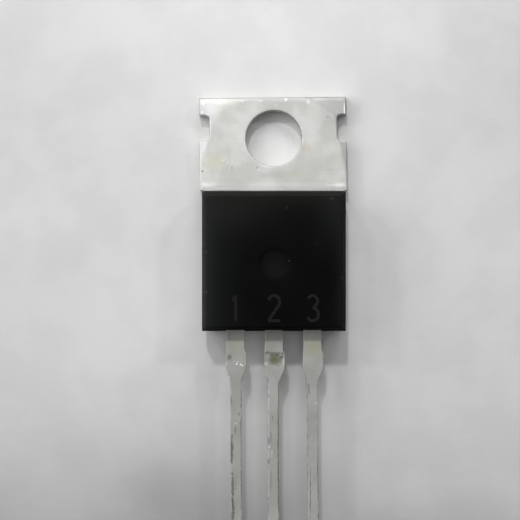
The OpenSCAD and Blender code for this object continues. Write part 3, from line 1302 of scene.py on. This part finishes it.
def lead_side(pen: LoopPen, package: Package, x: float, side: int, stub_share: float) -> None:
    """Draw one side of a lead outside the body, down on the left and up on the right.

    Args:
        pen: The pen that draws the lead's outline.
        package: The package's sizes.
        x: The lead's centre line.
        side: -1 for the left side, 1 for the right.
        stub_share: How much of the tie bar's stub the cut left.
    """
    p = package
    root, tail = p.root_w / 2, p.tail_w / 2
    stub = root + p.stub_out * stub_share
    places = [
        (root, -p.root_inside), (root, p.stub_from), (stub, p.stub_from + p.stub_out), (stub, p.taper_from),
        (tail, p.taper_from + p.taper_len), (tail, p.body_foot - p.lead_tip - p.tip_chamfer),
        (tail - p.tip_chamfer, p.body_foot - p.lead_tip),
    ]
    for half, along in places if side < 0 else places[::-1]:
        pen.to((x + side * half, p.body_foot - along))


def edge_share(points: np.ndarray, loops: Sequence[np.ndarray], back: float, front: float,
               fade: float = 0.12) -> np.ndarray:
    """Say how near points of a plate are to its sharp edges.

    Args:
        points: The points in millimetres.
        loops: The plate's outline and holes.
        back: Height of its back face.
        front: Height of its front face.
        fade: Distance over which the nearness falls off.

    Returns:
        For each point 1 at an edge, falling to 0 far from it.
    """
    level = np.minimum(np.abs(points[:, 2] - back), np.abs(points[:, 2] - front))
    return np.exp(-np.hypot(nearest(points, loops), level) / fade)


def weld(piece: bpy.types.Object, other: bpy.types.Object) -> None:
    """Join a second solid to a piece as one solid, and delete it.

    Args:
        piece: The piece that is kept.
        other: The solid that becomes part of it.
    """
    joint = piece.modifiers.new("weld", "BOOLEAN")
    joint.operation, joint.object, joint.solver = "UNION", other, "EXACT"
    apply_modifiers(piece)
    bpy.data.objects.remove(other)


def apply_modifiers(piece: bpy.types.Object) -> None:
    """Replace a piece's mesh by what its modifiers make of it.

    Args:
        piece: The piece, which has no modifier afterwards.
    """
    graph = bpy.context.evaluated_depsgraph_get()
    mesh = bpy.data.meshes.new_from_object(piece.evaluated_get(graph))
    piece.modifiers.clear()
    mesh.name = piece.name
    piece.data = mesh


@dataclass
class OuterLead:
    """One outer lead with its bonding post inside the body."""

    package: Package
    lead: Lead
    sway: tuple[tuple[float, float], ...]
    stubs: tuple[float, float]
    seed: float
    step: float = 0.14
    spacing: float = 0.2
    anchor_points: int = 24

    def loops(self) -> list[np.ndarray]:
        """Draw the post and lead in plan.

        Returns:
            Their outline, and the post's anchor hole.
        """
        p, x = self.package, self.package.lead_x(self.lead)
        side = self.lead.value
        near, far = sorted((side * p.post_in, side * p.post_out))
        foot, top, cut = p.post_top - p.post_h, p.post_top, p.post_chamfer
        pen = LoopPen(self.step)
        pen.to((near, top - cut), (near, foot + cut), (near + cut, foot), (x - p.root_w / 2, foot))
        lead_side(pen, p, x, -1, self.stubs[0])
        lead_side(pen, p, x, 1, self.stubs[1])
        pen.to((x + p.root_w / 2, foot), (far - cut, foot), (far, foot + cut), (far, top - cut))
        pen.to((far - cut, top), (near + cut, top))
        anchor = circle_loop((x, foot + p.anchor_from), p.anchor_d / 2, self.anchor_points, hole=True)
        return [pen.loop(), anchor]

    def shape(self, points: np.ndarray) -> np.ndarray:
        """Sway the thin end and make the edges uneven.

        Args:
            points: The straight lead's points in millimetres.

        Returns:
            The moved points.
        """
        x, y, z = points.T
        sway = np.interp(self.package.body_foot - y, *zip(*self.sway))
        return burred(np.column_stack([x + sway, y, z]), self.seed)

    def build(self) -> bpy.types.Object:
        """Build the piece.

        Returns:
            The piece.
        """
        p = self.package
        loops = self.loops()
        solid = Solid()
        solid.plate(loops, p.lead_z, p.lead_front, LEAD_EDGE_R, LEAD_EDGE_R, self.spacing)
        edge = edge_share(np.array(solid.points), loops, p.lead_z, p.lead_front)
        return solid.make(f"{self.lead.name.lower()}_lead_metal", self.shape, edge)


@dataclass
class MouldedBody:
    """The black body, with drafted walls, a faint parting ridge and a round ejector mark."""

    package: Package
    spacing: float = 0.3
    corner_r: float = 0.06
    front_r: float = 0.09
    back_r: float = 0.08
    ridge: float = 0.015
    ridge_h: float = 0.03
    mark_slope: float = 0.36
    mark_slope_out: float = 0.25
    mark_rings: int = 9
    mark_points: int = 64
    corner_points: int = 7
    side_points: int = 36
    edge_fade: float = 0.15

    def loop(self, z: float, depth: float) -> np.ndarray:
        """Return the body's outline at a height.

        Args:
            z: The height.
            depth: How far inside the wall the outline lies.

        Returns:
            The outline's points.
        """
        p = self.package
        front, back = math.tan(math.radians(p.front_draft)), math.tan(math.radians(p.back_draft))
        lean = (z - p.lead_z) * front if z > p.lead_z else (p.lead_z - z) * back
        half = p.body_w / 2 - lean - depth
        top = p.body_top - max(0.0, z - p.tab_t) * front - depth
        foot = p.body_foot + lean + depth
        r = self.corner_r
        corners = (
            (half - r, foot + r, -90), (half - r, top - r, 0),
            (r - half, top - r, 90), (r - half, foot + r, 180),
        )
        arcs = []
        for x, y, start in corners:
            turn = np.radians(start + np.linspace(0, 90, self.corner_points))
            arcs.append(np.column_stack([x + r * np.cos(turn), y + r * np.sin(turn)]))
        share = np.linspace(0, 1, self.side_points + 2)[1:-1, None]
        sides = [arc[-1] + share * (after[0] - arc[-1]) for arc, after in zip(arcs, arcs[1:] + arcs[:1])]
        return np.vstack([part for pair in zip(arcs, sides) for part in pair])

    def build(self) -> bpy.types.Object:
        """Build the piece.

        Returns:
            The piece.
        """
        p = self.package
        levels = [(self.back_r + EDGE_RING, p.back_step)]
        levels += [(self.back_r * (1 - s), p.back_step + self.back_r * (1 - c)) for s, c in bends()]
        levels += [(0.0, p.tab_t), (0.0, p.lead_z - self.ridge_h)]
        levels += [(-self.ridge, p.lead_z), (0.0, p.lead_z + self.ridge_h)]
        levels += [(self.front_r * (1 - c), p.body_t - self.front_r * (1 - s)) for s, c in bends()]
        levels += [(self.front_r + EDGE_RING, p.body_t)]
        solid = Solid()
        rings = [solid.ring(self.loop(z, depth), z) for depth, z in levels]
        solid.wall(rings)
        solid.cap([rings[0]], self.spacing, front=False)
        middle = (0.0, p.body_top - p.mark_from_top)
        turns = np.linspace(0, math.pi, self.mark_rings)
        radii = p.mark_r + self.mark_slope * (self.mark_slope_out - turns / math.pi)
        heights = p.body_t - p.mark_depth * (1 - np.cos(turns)) / 2
        circles = [circle_loop(middle, r, self.mark_points, hole=True) for r in radii]
        pits = [solid.ring(circle, float(z)) for circle, z in zip(circles, heights)]
        solid.wall(pits[::-1])
        solid.cap([rings[-1], pits[0]], self.spacing, front=True)
        solid.cap([pits[-1][::-1]], self.spacing, front=True)
        return solid.make("black_body", lambda at: at, self.edge_share(np.array(solid.points)))

    def edge_share(self, points: np.ndarray) -> np.ndarray:
        """Say how near points are to the body's edges.

        Args:
            points: The points in millimetres.

        Returns:
            For each point 1 at an edge, falling to 0 far from it.
        """
        p = self.package
        x, y, z = points.T
        lean = np.where(z > p.lead_z, (z - p.lead_z) * math.tan(math.radians(p.front_draft)),
                        (p.lead_z - z) * math.tan(math.radians(p.back_draft)))
        gaps = np.sort(np.abs([
            p.body_w / 2 - lean - np.abs(x), np.minimum(p.body_top - y, y - p.body_foot - lean),
            np.minimum(z - p.back_step, p.body_t - z),
        ]), axis=0)
        return np.exp(-np.hypot(gaps[0], gaps[1]) / self.edge_fade)


@dataclass
class PinNumerals:
    """Plain pin numbers 1 to 3, etched over the leads."""

    package: Package
    height: float = 1.65
    width: float = 0.8
    stroke: float = 0.19
    foot: float = -12.1
    sunk: float = 0.02
    lift: float = 0.003
    lift_step: float = 0.001

    def strokes(self, lead: Lead) -> list[np.ndarray]:
        """Draw a lead's number.

        Args:
            lead: The lead.

        Returns:
            The lines that its strokes follow, in a box from 0 to 1.
        """
        if lead is Lead.GATE:
            return [np.array([(0.55, 1.0), (0.55, 0.0)]), np.array([(0.26, 0.8), (0.51, 0.97)])]
        if lead is Lead.DRAIN:
            return [
                np.vstack([self.bowl(0.5, 0.74, 0.44, 0.26, 165, -35), [(0.06, 0.03)]]),
                np.array([(0.02, 0.0), (0.98, 0.0)]),
            ]
        return [self.bowl(0.46, 0.775, 0.4, 0.225, 155, -90), self.bowl(0.46, 0.2555, 0.46, 0.2555, 90, -155)]

    @staticmethod
    def bowl(x: float, y: float, wide: float, high: float, start: float, end: float,
             count: int = 16) -> np.ndarray:
        """Return part of an ellipse, from one angle in degrees to another."""
        turn = np.radians(np.linspace(start, end, count))
        return np.column_stack([x + wide * np.cos(turn), y + high * np.sin(turn)])

    def stroke_along(self, solid: Solid, path: np.ndarray, lift: float) -> None:
        """Add one thin stroke that follows a line, with mitred corners.

        Args:
            solid: The solid that it goes into.
            path: The line's points in millimetres.
            lift: How far it stands out of the body.
        """
        ahead = np.diff(path, axis=0)
        ahead /= np.linalg.norm(ahead, axis=1, keepdims=True)
        left = np.column_stack([-ahead[:, 1], ahead[:, 0]])
        both = np.vstack([left[:1], left]) + np.vstack([left, left[-1:]])
        side = self.stroke * both / (both * both).sum(axis=1, keepdims=True)
        low, high = self.package.body_t - self.sunk, self.package.body_t + lift
        corners = ((1, low), (1, high), (-1, high), (-1, low))
        rings = []
        for point, out in zip(path, side):
            rings.append(list(range(len(solid.points), len(solid.points) + len(corners))))
            solid.points += [(*(point + way * out), z) for way, z in corners]
        solid.wall(rings)
        solid.faces += [tuple(rings[0][::-1]), tuple(rings[-1])]

    def build(self) -> bpy.types.Object:
        """Build the three numbers as one thin piece.

        Returns:
            The piece.
        """
        solid = Solid()
        for lead in Lead:
            corner = (self.package.lead_x(lead) - self.width / 2, self.foot)
            for number, stroke in enumerate(self.strokes(lead)):
                path = stroke * (self.width, self.height) + corner
                self.stroke_along(solid, path, self.lift + self.lift_step * number)
        return solid.make("pin_numerals", lambda at: at, np.zeros(len(solid.points)), smooth=False)


@dataclass
class Table:
    """The paper that the package lies on."""

    effects: Effects
    half: float = 1500.0

    def build(self) -> bpy.types.Object:
        """Build the paper.

        Returns:
            The paper.
        """
        h = self.half * MM
        mesh = bpy.data.meshes.new("paper")
        mesh.from_pydata([(-h, -h, 0), (h, -h, 0), (h, h, 0), (-h, h, 0)], [], [(0, 1, 2, 3)])
        paper = bpy.data.objects.new("paper", mesh)
        bpy.context.scene.collection.objects.link(paper)
        mesh.materials.append(PaperSheet("paper", self.effects, (0.82, 0.82, 0.82), 0.8).material())
        return paper


@dataclass(frozen=True)
class Lamp:
    """One soft square lamp, placed by the direction of the shadow that it throws.

    share is its part of the light on a level white surface, and its size, distance and aim are
    millimetres.
    """

    name: str
    towards: tuple[float, float, float]
    share: float
    size: float
    distance: float = 450.0
    aim: tuple[float, float, float] = (0.0, -8.0, 0.0)

    def build(self) -> None:
        """Build the lamp, bright enough to add its share of the light."""
        direction, distance = Vector(self.towards).normalized(), self.distance * MM
        data = bpy.data.lights.new(self.name, "AREA")
        data.shape, data.size = "SQUARE", self.size * MM
        data.energy = self.share * (math.pi * distance) ** 2 / direction.z
        lamp = bpy.data.objects.new(self.name, data)
        lamp.location = direction * distance + Vector(self.aim) * MM
        lamp.rotation_mode = "QUATERNION"
        lamp.rotation_quaternion = direction.to_track_quat("Z", "Y")
        bpy.context.scene.collection.objects.link(lamp)


@dataclass
class Studio:
    """Camera, lamps and world. The photograph's scale holds at scale_height over the table."""

    centre: tuple[float, float] = (-0.92, -8.15)
    camera_height: float = 110.0
    px_per_mm: float = 15.16
    scale_height: float = 2.9
    frame_px: int = 520
    sensor_w: float = 36.0
    clip_from: float = 5.0
    ambient: float = 0.08
    lamps: tuple[Lamp, ...] = (
        Lamp("lamp_main", (-0.5, 2.68, 4.5), 0.195, 22.0),
        Lamp("lamp_left", (-4.1, 2.68, 4.5), 0.046, 30.0),
        Lamp("lamp_between", (-2.3, 2.7, 4.5), 0.07, 60.0),
        Lamp("lamp_right", (3.3, 2.6, 4.5), 0.069, 40.0),
        Lamp("lamp_far", (-0.5, 6.0, 4.5), 0.055, 80.0),
        Lamp("lamp_far_right", (1.4, 4.5, 4.5), 0.105, 120.0),
        Lamp("softbox_above", (-0.3, 0.6, 4.5), 0.186, 260.0),
        Lamp("softbox_left", (-5.0, 0.8, 4.5), 0.19, 250.0),
    )

    def camera(self) -> None:
        """Put the camera straight above the package, as in the photograph."""
        scene = bpy.context.scene
        data = bpy.data.cameras.new("camera")
        focal_px = self.px_per_mm * (self.camera_height - self.scale_height)
        data.sensor_fit, data.sensor_width = "HORIZONTAL", self.sensor_w
        data.lens = self.sensor_w * focal_px / self.frame_px
        data.clip_start = self.clip_from * MM
        camera = bpy.data.objects.new("camera", data)
        camera.location = Vector((*self.centre, self.camera_height)) * MM
        scene.collection.objects.link(camera)
        scene.camera = camera

    def light(self) -> None:
        """Light the scene with an even world and the lamps, and keep the plain view."""
        scene = bpy.context.scene
        world = bpy.data.worlds.new("room")
        world.use_nodes = True
        background = world.node_tree.nodes["Background"]
        background.inputs["Color"].default_value = (1.0, 1.0, 1.0, 1.0)
        background.inputs["Strength"].default_value = self.ambient
        scene.world = world
        for lamp in self.lamps:
            lamp.build()
        scene.view_settings.view_transform = "Standard"


@dataclass
class Transistor:
    """The whole package, piece by piece."""

    package: Package
    effects: Effects

    def tab_finish(self) -> TinPlate:
        """Describe the heat sink's finish, with the stains, pits and bright specks on the tab, and painted
        highlights, sheen and shade on it.

        Returns:
            The finish.
        """
        facet_sheen = (0.77, 0.77, 0.77)
        yellow, cream_highlight, pit = (0.55, 0.53, 0.36), (0.85, 0.85, 0.74), (0.2, 0.19, 0.17)
        white, grey = (0.9, 0.9, 0.89), (0.36, 0.36, 0.35)
        return TinPlate(
            "tinned_tab", self.effects, (0.6, 0.6, 0.585), 0.62, 1.0,
            stain=(0.54, 0.54, 0.505), bright=(0.75, 0.75, 0.73), mottling=0.3,
            cut=(0.64, 0.63, 0.61), cut_dark=(0.5, 0.49, 0.47), face=self.package.tab_t,
            spots=(
                Spot((2.1, -0.55), (0.45, 0.35), yellow, 0.4, 0.5),
                Spot((-4.0, -1.6), (0.7, 0.5), yellow, 0.45, 0.0),
                Spot((1.3, -2.35), (0.45, 0.2), yellow, 0.3, 0.0),
                Spot((-0.2, -2.5), (0.8, 0.25), grey, 0.25, 0.0),
                # Painted highlights: the bright strip and patch where the tab's top-left corner catches the
                # light.
                Spot((-3.5, 2.48), (1.0, 0.25), cream_highlight, 0.5, 0.0),
                Spot((-4.3, 1.95), (0.5, 0.4), (0.75, 0.75, 0.78), 0.5, 0.0),
                Spot((-4.72, 2.38), (0.16, 0.13), white, 0.9, 0.4),
                Spot((-4.8, 1.75), (0.1, 0.1), white, 0.7, 0.4),
                # Painted shade on the tab's upper right corner, which tilts away from the light.
                Spot((3.7, 1.6), (1.1, 0.7), grey, 0.35, 0.0),
                # Painted sheen on the pressed facet below the left notch.
                Spot((-4.85, -0.1), (0.55, 1.4), facet_sheen, 0.9, 0.1),
                Spot((-4.93, -1.3), (0.13, 1.1), facet_sheen, 0.7, 0.3),
                Spot((3.55, 1.45), (0.16, 0.1), pit, 0.25, 0.8),
                Spot((-1.12, -1.98), (0.09, 0.08), pit, 0.6),
                Spot((-1.05, -2.08), (0.06, 0.06), white, 0.5),
                Spot((-2.8, -1.98), (0.05, 0.2), pit, 0.4),
                Spot((-4.78, -2.2), (0.08, 0.1), pit, 0.8),
                Spot((-3.43, -1.49), (0.06, 0.05), white, 0.5),
                Spot((-3.21, -1.38), (0.05, 0.05), white, 0.5),
                Spot((-3.1, -1.66), (0.06, 0.05), white, 0.4),
                Spot((1.3, 2.0), (0.03, 0.15), pit, 0.2),
                Spot((-2.1, 2.5), (0.14, 0.12), white, 0.4, 0.3),
                Spot((-0.88, 2.5), (0.2, 0.1), white, 0.35, 0.8),
                Spot((0.82, 2.6), (0.13, 0.13), white, 0.7, 0.4),
                Spot((2.32, 2.42), (0.16, 0.2), white, 0.45, 0.4),
                Spot((0.15, 2.2), (0.1, 0.14), white, 0.3, 0.5),
                # Painted highlight along the tab's rounded right edge.
                Spot((4.73, 1.95), (0.045, 0.65), white, 0.9, 0.3),
                # Painted highlights on the bead along the body, brightest towards its ends.
                Spot((4.5, -3.2), (0.4, 0.15), white, 0.35, 0.0),
                Spot((-4.4, -3.26), (0.4, 0.15), white, 0.35, 0.0),
                Spot((-3.4, -3.35), (0.9, 0.08), white, 0.25, 0.0),
                Spot((0.5, -3.42), (0.15, 0.05), white, 0.4, 0.5),
                Spot((3.85, -3.03), (0.5, 0.04), grey, 0.4, 0.6),
                Spot((4.0, -2.12), (0.75, 0.035), grey, 0.35, 0.6),
            ),
        )

    def lead_finish(self) -> TinPlate:
        """Describe the leads' finish, with burnt flux on the middle one, worn, nicked sides and painted shade
        along their right edges.

        Returns:
            The finish.
        """
        olive, burnt, dark = (0.2, 0.2, 0.14), (0.1, 0.097, 0.055), (0.07, 0.07, 0.063)
        pale, white, line = (0.39, 0.39, 0.28), (0.95, 0.95, 0.93), (0.15, 0.15, 0.14)
        return TinPlate(
            "tinned_leads", self.effects, (0.405, 0.405, 0.392), 0.75, 0.45,
            stain=(0.345, 0.342, 0.315), bright=(0.6, 0.6, 0.58), mottling=0.6,
            scratch_angles=(1.5, 1.75), nick=(0.1, 0.1, 0.095), nicks=0.45, face=self.package.lead_front,
            spots=(
                Spot((0.12, -14.72), (0.64, 0.46), olive, 0.85, 0.3),
                Spot((0.02, -14.7), (0.26, 0.22), burnt, 0.6, 0.0),
                Spot((0.05, -14.33), (0.72, 0.13), dark, 0.5, 1.0),
                Spot((0.56, -14.5), (0.13, 0.22), dark, 0.6, 0.8),
                Spot((-0.5, -14.3), (0.16, 0.13), dark, 0.6, 0.9),
                Spot((-0.6, -14.75), (0.06, 0.5), line, 0.5, 0.5),
                Spot((0.62, -14.85), (0.08, 0.4), white, 0.25, 0.4),
                Spot((-0.52, -15.0), (0.1, 0.12), white, 0.4, 0.8),
                # Painted shade: a dark line along the middle lead's right edge.
                Spot((0.3, -21.0), (0.08, 5.6), dark, 0.6, 0.5),
                Spot((0.33, -17.1), (0.07, 0.12), dark, 0.8, 0.6),
                Spot((-0.1, -18.6), (0.05, 0.25), dark, 0.4, 0.6),
                Spot((-0.2, -19.8), (0.1, 0.45), line, 0.45, 0.8),
                Spot((-0.13, -20.9), (0.04, 0.32), white, 0.4, 0.8),
                Spot((-0.28, -20.5), (0.05, 0.12), white, 0.5, 0.6),
                Spot((-0.2, -22.6), (0.1, 1.0), line, 0.25, 0.9),
                Spot((-2.92, -14.6), (0.15, 0.26), dark, 0.5, 0.8),
                Spot((-2.45, -15.0), (0.07, 0.1), white, 0.8, 0.4),
                Spot((-2.38, -14.86), (0.05, 0.05), white, 0.7, 0.4),
                Spot((-2.2, -15.02), (0.06, 0.07), white, 0.8, 0.4),
                Spot((-2.1, -15.1), (0.09, 0.06), white, 0.8, 0.4),
                Spot((-2.6, -14.85), (0.04, 0.04), white, 0.4, 0.4),
                Spot((-3.1, -15.0), (0.06, 0.06), white, 0.4, 0.6),
                Spot((-2.98, -15.85), (0.08, 0.1), white, 0.6, 0.7),
                Spot((-2.6, -13.75), (0.55, 0.5), pale, 0.45, 0.0),
                Spot((-2.85, -17.1), (0.2, 0.6), pale, 0.6, 0.4),
                Spot((-2.52, -18.93), (0.06, 0.08), white, 0.5, 0.7),
                Spot((-2.3, -18.3), (0.1, 0.14), dark, 0.4, 0.7),
                Spot((-2.78, -20.6), (0.13, 1.1), dark, 0.65, 0.7),
                Spot((-2.55, -19.4), (0.06, 0.3), line, 0.5, 0.8),
                Spot((-2.74, -23.1), (0.13, 1.25), dark, 0.6, 0.75),
                Spot((-2.5, -22.8), (0.05, 0.7), line, 0.4, 0.9),
                Spot((-2.7, -24.9), (0.13, 1.2), dark, 0.6, 0.8),
                # Painted shade: a dark line along the gate lead's right edge.
                Spot((-2.15, -20.6), (0.07, 5.4), line, 0.6, 0.4),
                Spot((2.6, -13.9), (0.6, 0.5), pale, 0.75, 0.0),
                Spot((2.4, -23.6), (0.05, 2.2), dark, 0.55, 0.6),
                Spot((2.5, -19.9), (0.05, 0.05), white, 0.5, 0.6),
                Spot((2.75, -17.6), (0.12, 0.05), white, 0.35, 0.6),
                Spot((2.3, -16.6), (0.08, 0.5), dark, 0.45, 0.9),
                # Painted shade: a dark line along the source lead's right edge.
                Spot((2.92, -20.6), (0.08, 5.6), line, 0.7, 0.4),
                Spot((2.2, -20.4), (0.07, 5.0), line, 0.55, 0.6),
            ),
        )

    def body_finish(self) -> MouldingCompound:
        """Describe the body's finish: haze mixed with painted sheen towards its left, upper and right edges,
        painted light on its left wall and a painted highlight along its top edge.

        Returns:
            The finish.
        """
        p = self.package
        middle, mark_y = (p.body_top + p.body_foot) / 2, p.body_top - p.mark_from_top
        dust = (0.1, 0.105, 0.1)
        return MouldingCompound(
            "black_compound", self.effects, (0.0029, 0.0031, 0.003), 0.6, face=p.body_t,
            spots=(
                # Haze mixed with painted sheen: the face is lighter towards its left, upper and right edges.
                Spot((-4.75, middle), (1.9, 12.0), (0.0108, 0.0118, 0.0116), 0.85, 0.0),
                Spot((-3.6, p.body_top - 0.9), (3.4, 1.9), (0.0172, 0.0178, 0.017), 0.75, 0.0),
                Spot((0.3, p.body_top - 0.2), (12.0, 0.95), (0.0152, 0.0147, 0.013), 0.7, 0.0),
                Spot((4.4, p.body_top - 0.7), (1.6, 2.6), (0.0155, 0.0175, 0.0163), 0.75, 0.0),
                Spot((-4.75, middle), (0.7, 12.0), (0.0205, 0.0225, 0.022), 0.85, 0.0),
                Spot((4.75, middle), (0.6, 12.0), (0.013, 0.0135, 0.013), 0.8, 0.0),
                # Painted light on the left wall, then a painted highlight along the top edge.
                Spot((-4.64, middle), (0.16, 12.0), (0.036, 0.038, 0.037), 0.8, 0.0),
                Spot((0.0, p.body_top - 0.02), (12.0, 0.1), (0.055, 0.055, 0.053), 0.8, 0.0),
                Spot((0.05, mark_y), (1.05, 1.1), (0.0062, 0.0065, 0.0063), 0.7, 0.15),
                Spot((0.1, mark_y - 0.4), (0.8, 0.55), (0.0105, 0.0109, 0.0103), 0.6, 0.0),
                Spot((0.98, -8.2), (0.05, 0.05), dust, 0.8, 0.5),
                Spot((3.75, -4.15), (0.18, 0.05), dust, 0.3, 0.5),
                Spot((-4.42, -7.6), (0.06, 0.12), dust, 0.4, 0.8),
                Spot((-4.42, -10.25), (0.08, 0.07), dust, 0.5, 0.6),
                Spot((4.4, -9.3), (0.05, 0.1), dust, 0.4, 0.8),
                Spot((0.8, -4.7), (0.04, 0.16), dust, 0.25, 0.4),
            ),
        )

    def build(self) -> None:
        """Build and dress every piece."""
        p, effects = self.package, self.effects
        tinned = self.lead_finish().material()
        heat_sink = HeatSink(p)
        metal = heat_sink.build()
        settle(metal, (self.tab_finish().material(), tinned), "heat_sink_with_drain_lead")
        heat_sink.mark_faces(metal)
        gate_sway = ((0.0, 0.0), (2.6, 0.0), (4.0, 0.03), (9.0, 0.03), (13.2, 0.1))
        source_sway = ((0.0, 0.0), (2.6, 0.0), (4.0, 0.0), (9.0, 0.01), (13.2, 0.1))
        outer = (
            OuterLead(p, Lead.GATE, gate_sway, (0.4, 1.0), 19.0),
            OuterLead(p, Lead.SOURCE, source_sway, (0.2, 0.8), 21.0),
        )
        for lead in outer:
            settle(lead.build(), (tinned,), f"{lead.lead.name.lower()}_lead")
        settle(MouldedBody(p).build(), (self.body_finish().material(),), "moulded_body")
        mark = EtchedMark("etched_mark", effects, (0.013, 0.0136, 0.0134), 0.8)
        settle(PinNumerals(p).build(), (mark.material(),))
        self.dress_inner()

    def dress_inner(self) -> None:
        """Give the sealed pieces their materials."""
        effects = self.effects
        solder = InnerMetal("soft_solder", effects, (0.42, 0.43, 0.45), 0.5, 1.0).material()
        silicon = InnerMetal("silicon", effects, (0.26, 0.28, 0.31), 0.25, 0.6).material()
        wire = InnerMetal("aluminium_wire", effects, (0.8, 0.81, 0.82), 0.3, 1.0).material()
        inner = {
            "chip_solder": solder, "silicon_chip": silicon, "gate_bond_wire": wire,
            "left_source_bond_wire": wire, "right_source_bond_wire": wire,
        }
        for name, material in inner.items():
            mesh = frame["nodes"][name].data
            mesh.materials.clear()
            mesh.materials.append(material)
            log.info("%s: sealed in the body", name)


def main() -> None:
    """Build the package, the table, the lights and the camera."""
    noise.seed_set(NOISE_SEED)
    effects = Effects()
    studio = Studio()
    studio.camera()
    studio.light()
    Table(effects).build()
    Transistor(Package.from_frame(), effects).build()


if __name__ == "__main__":
    main()
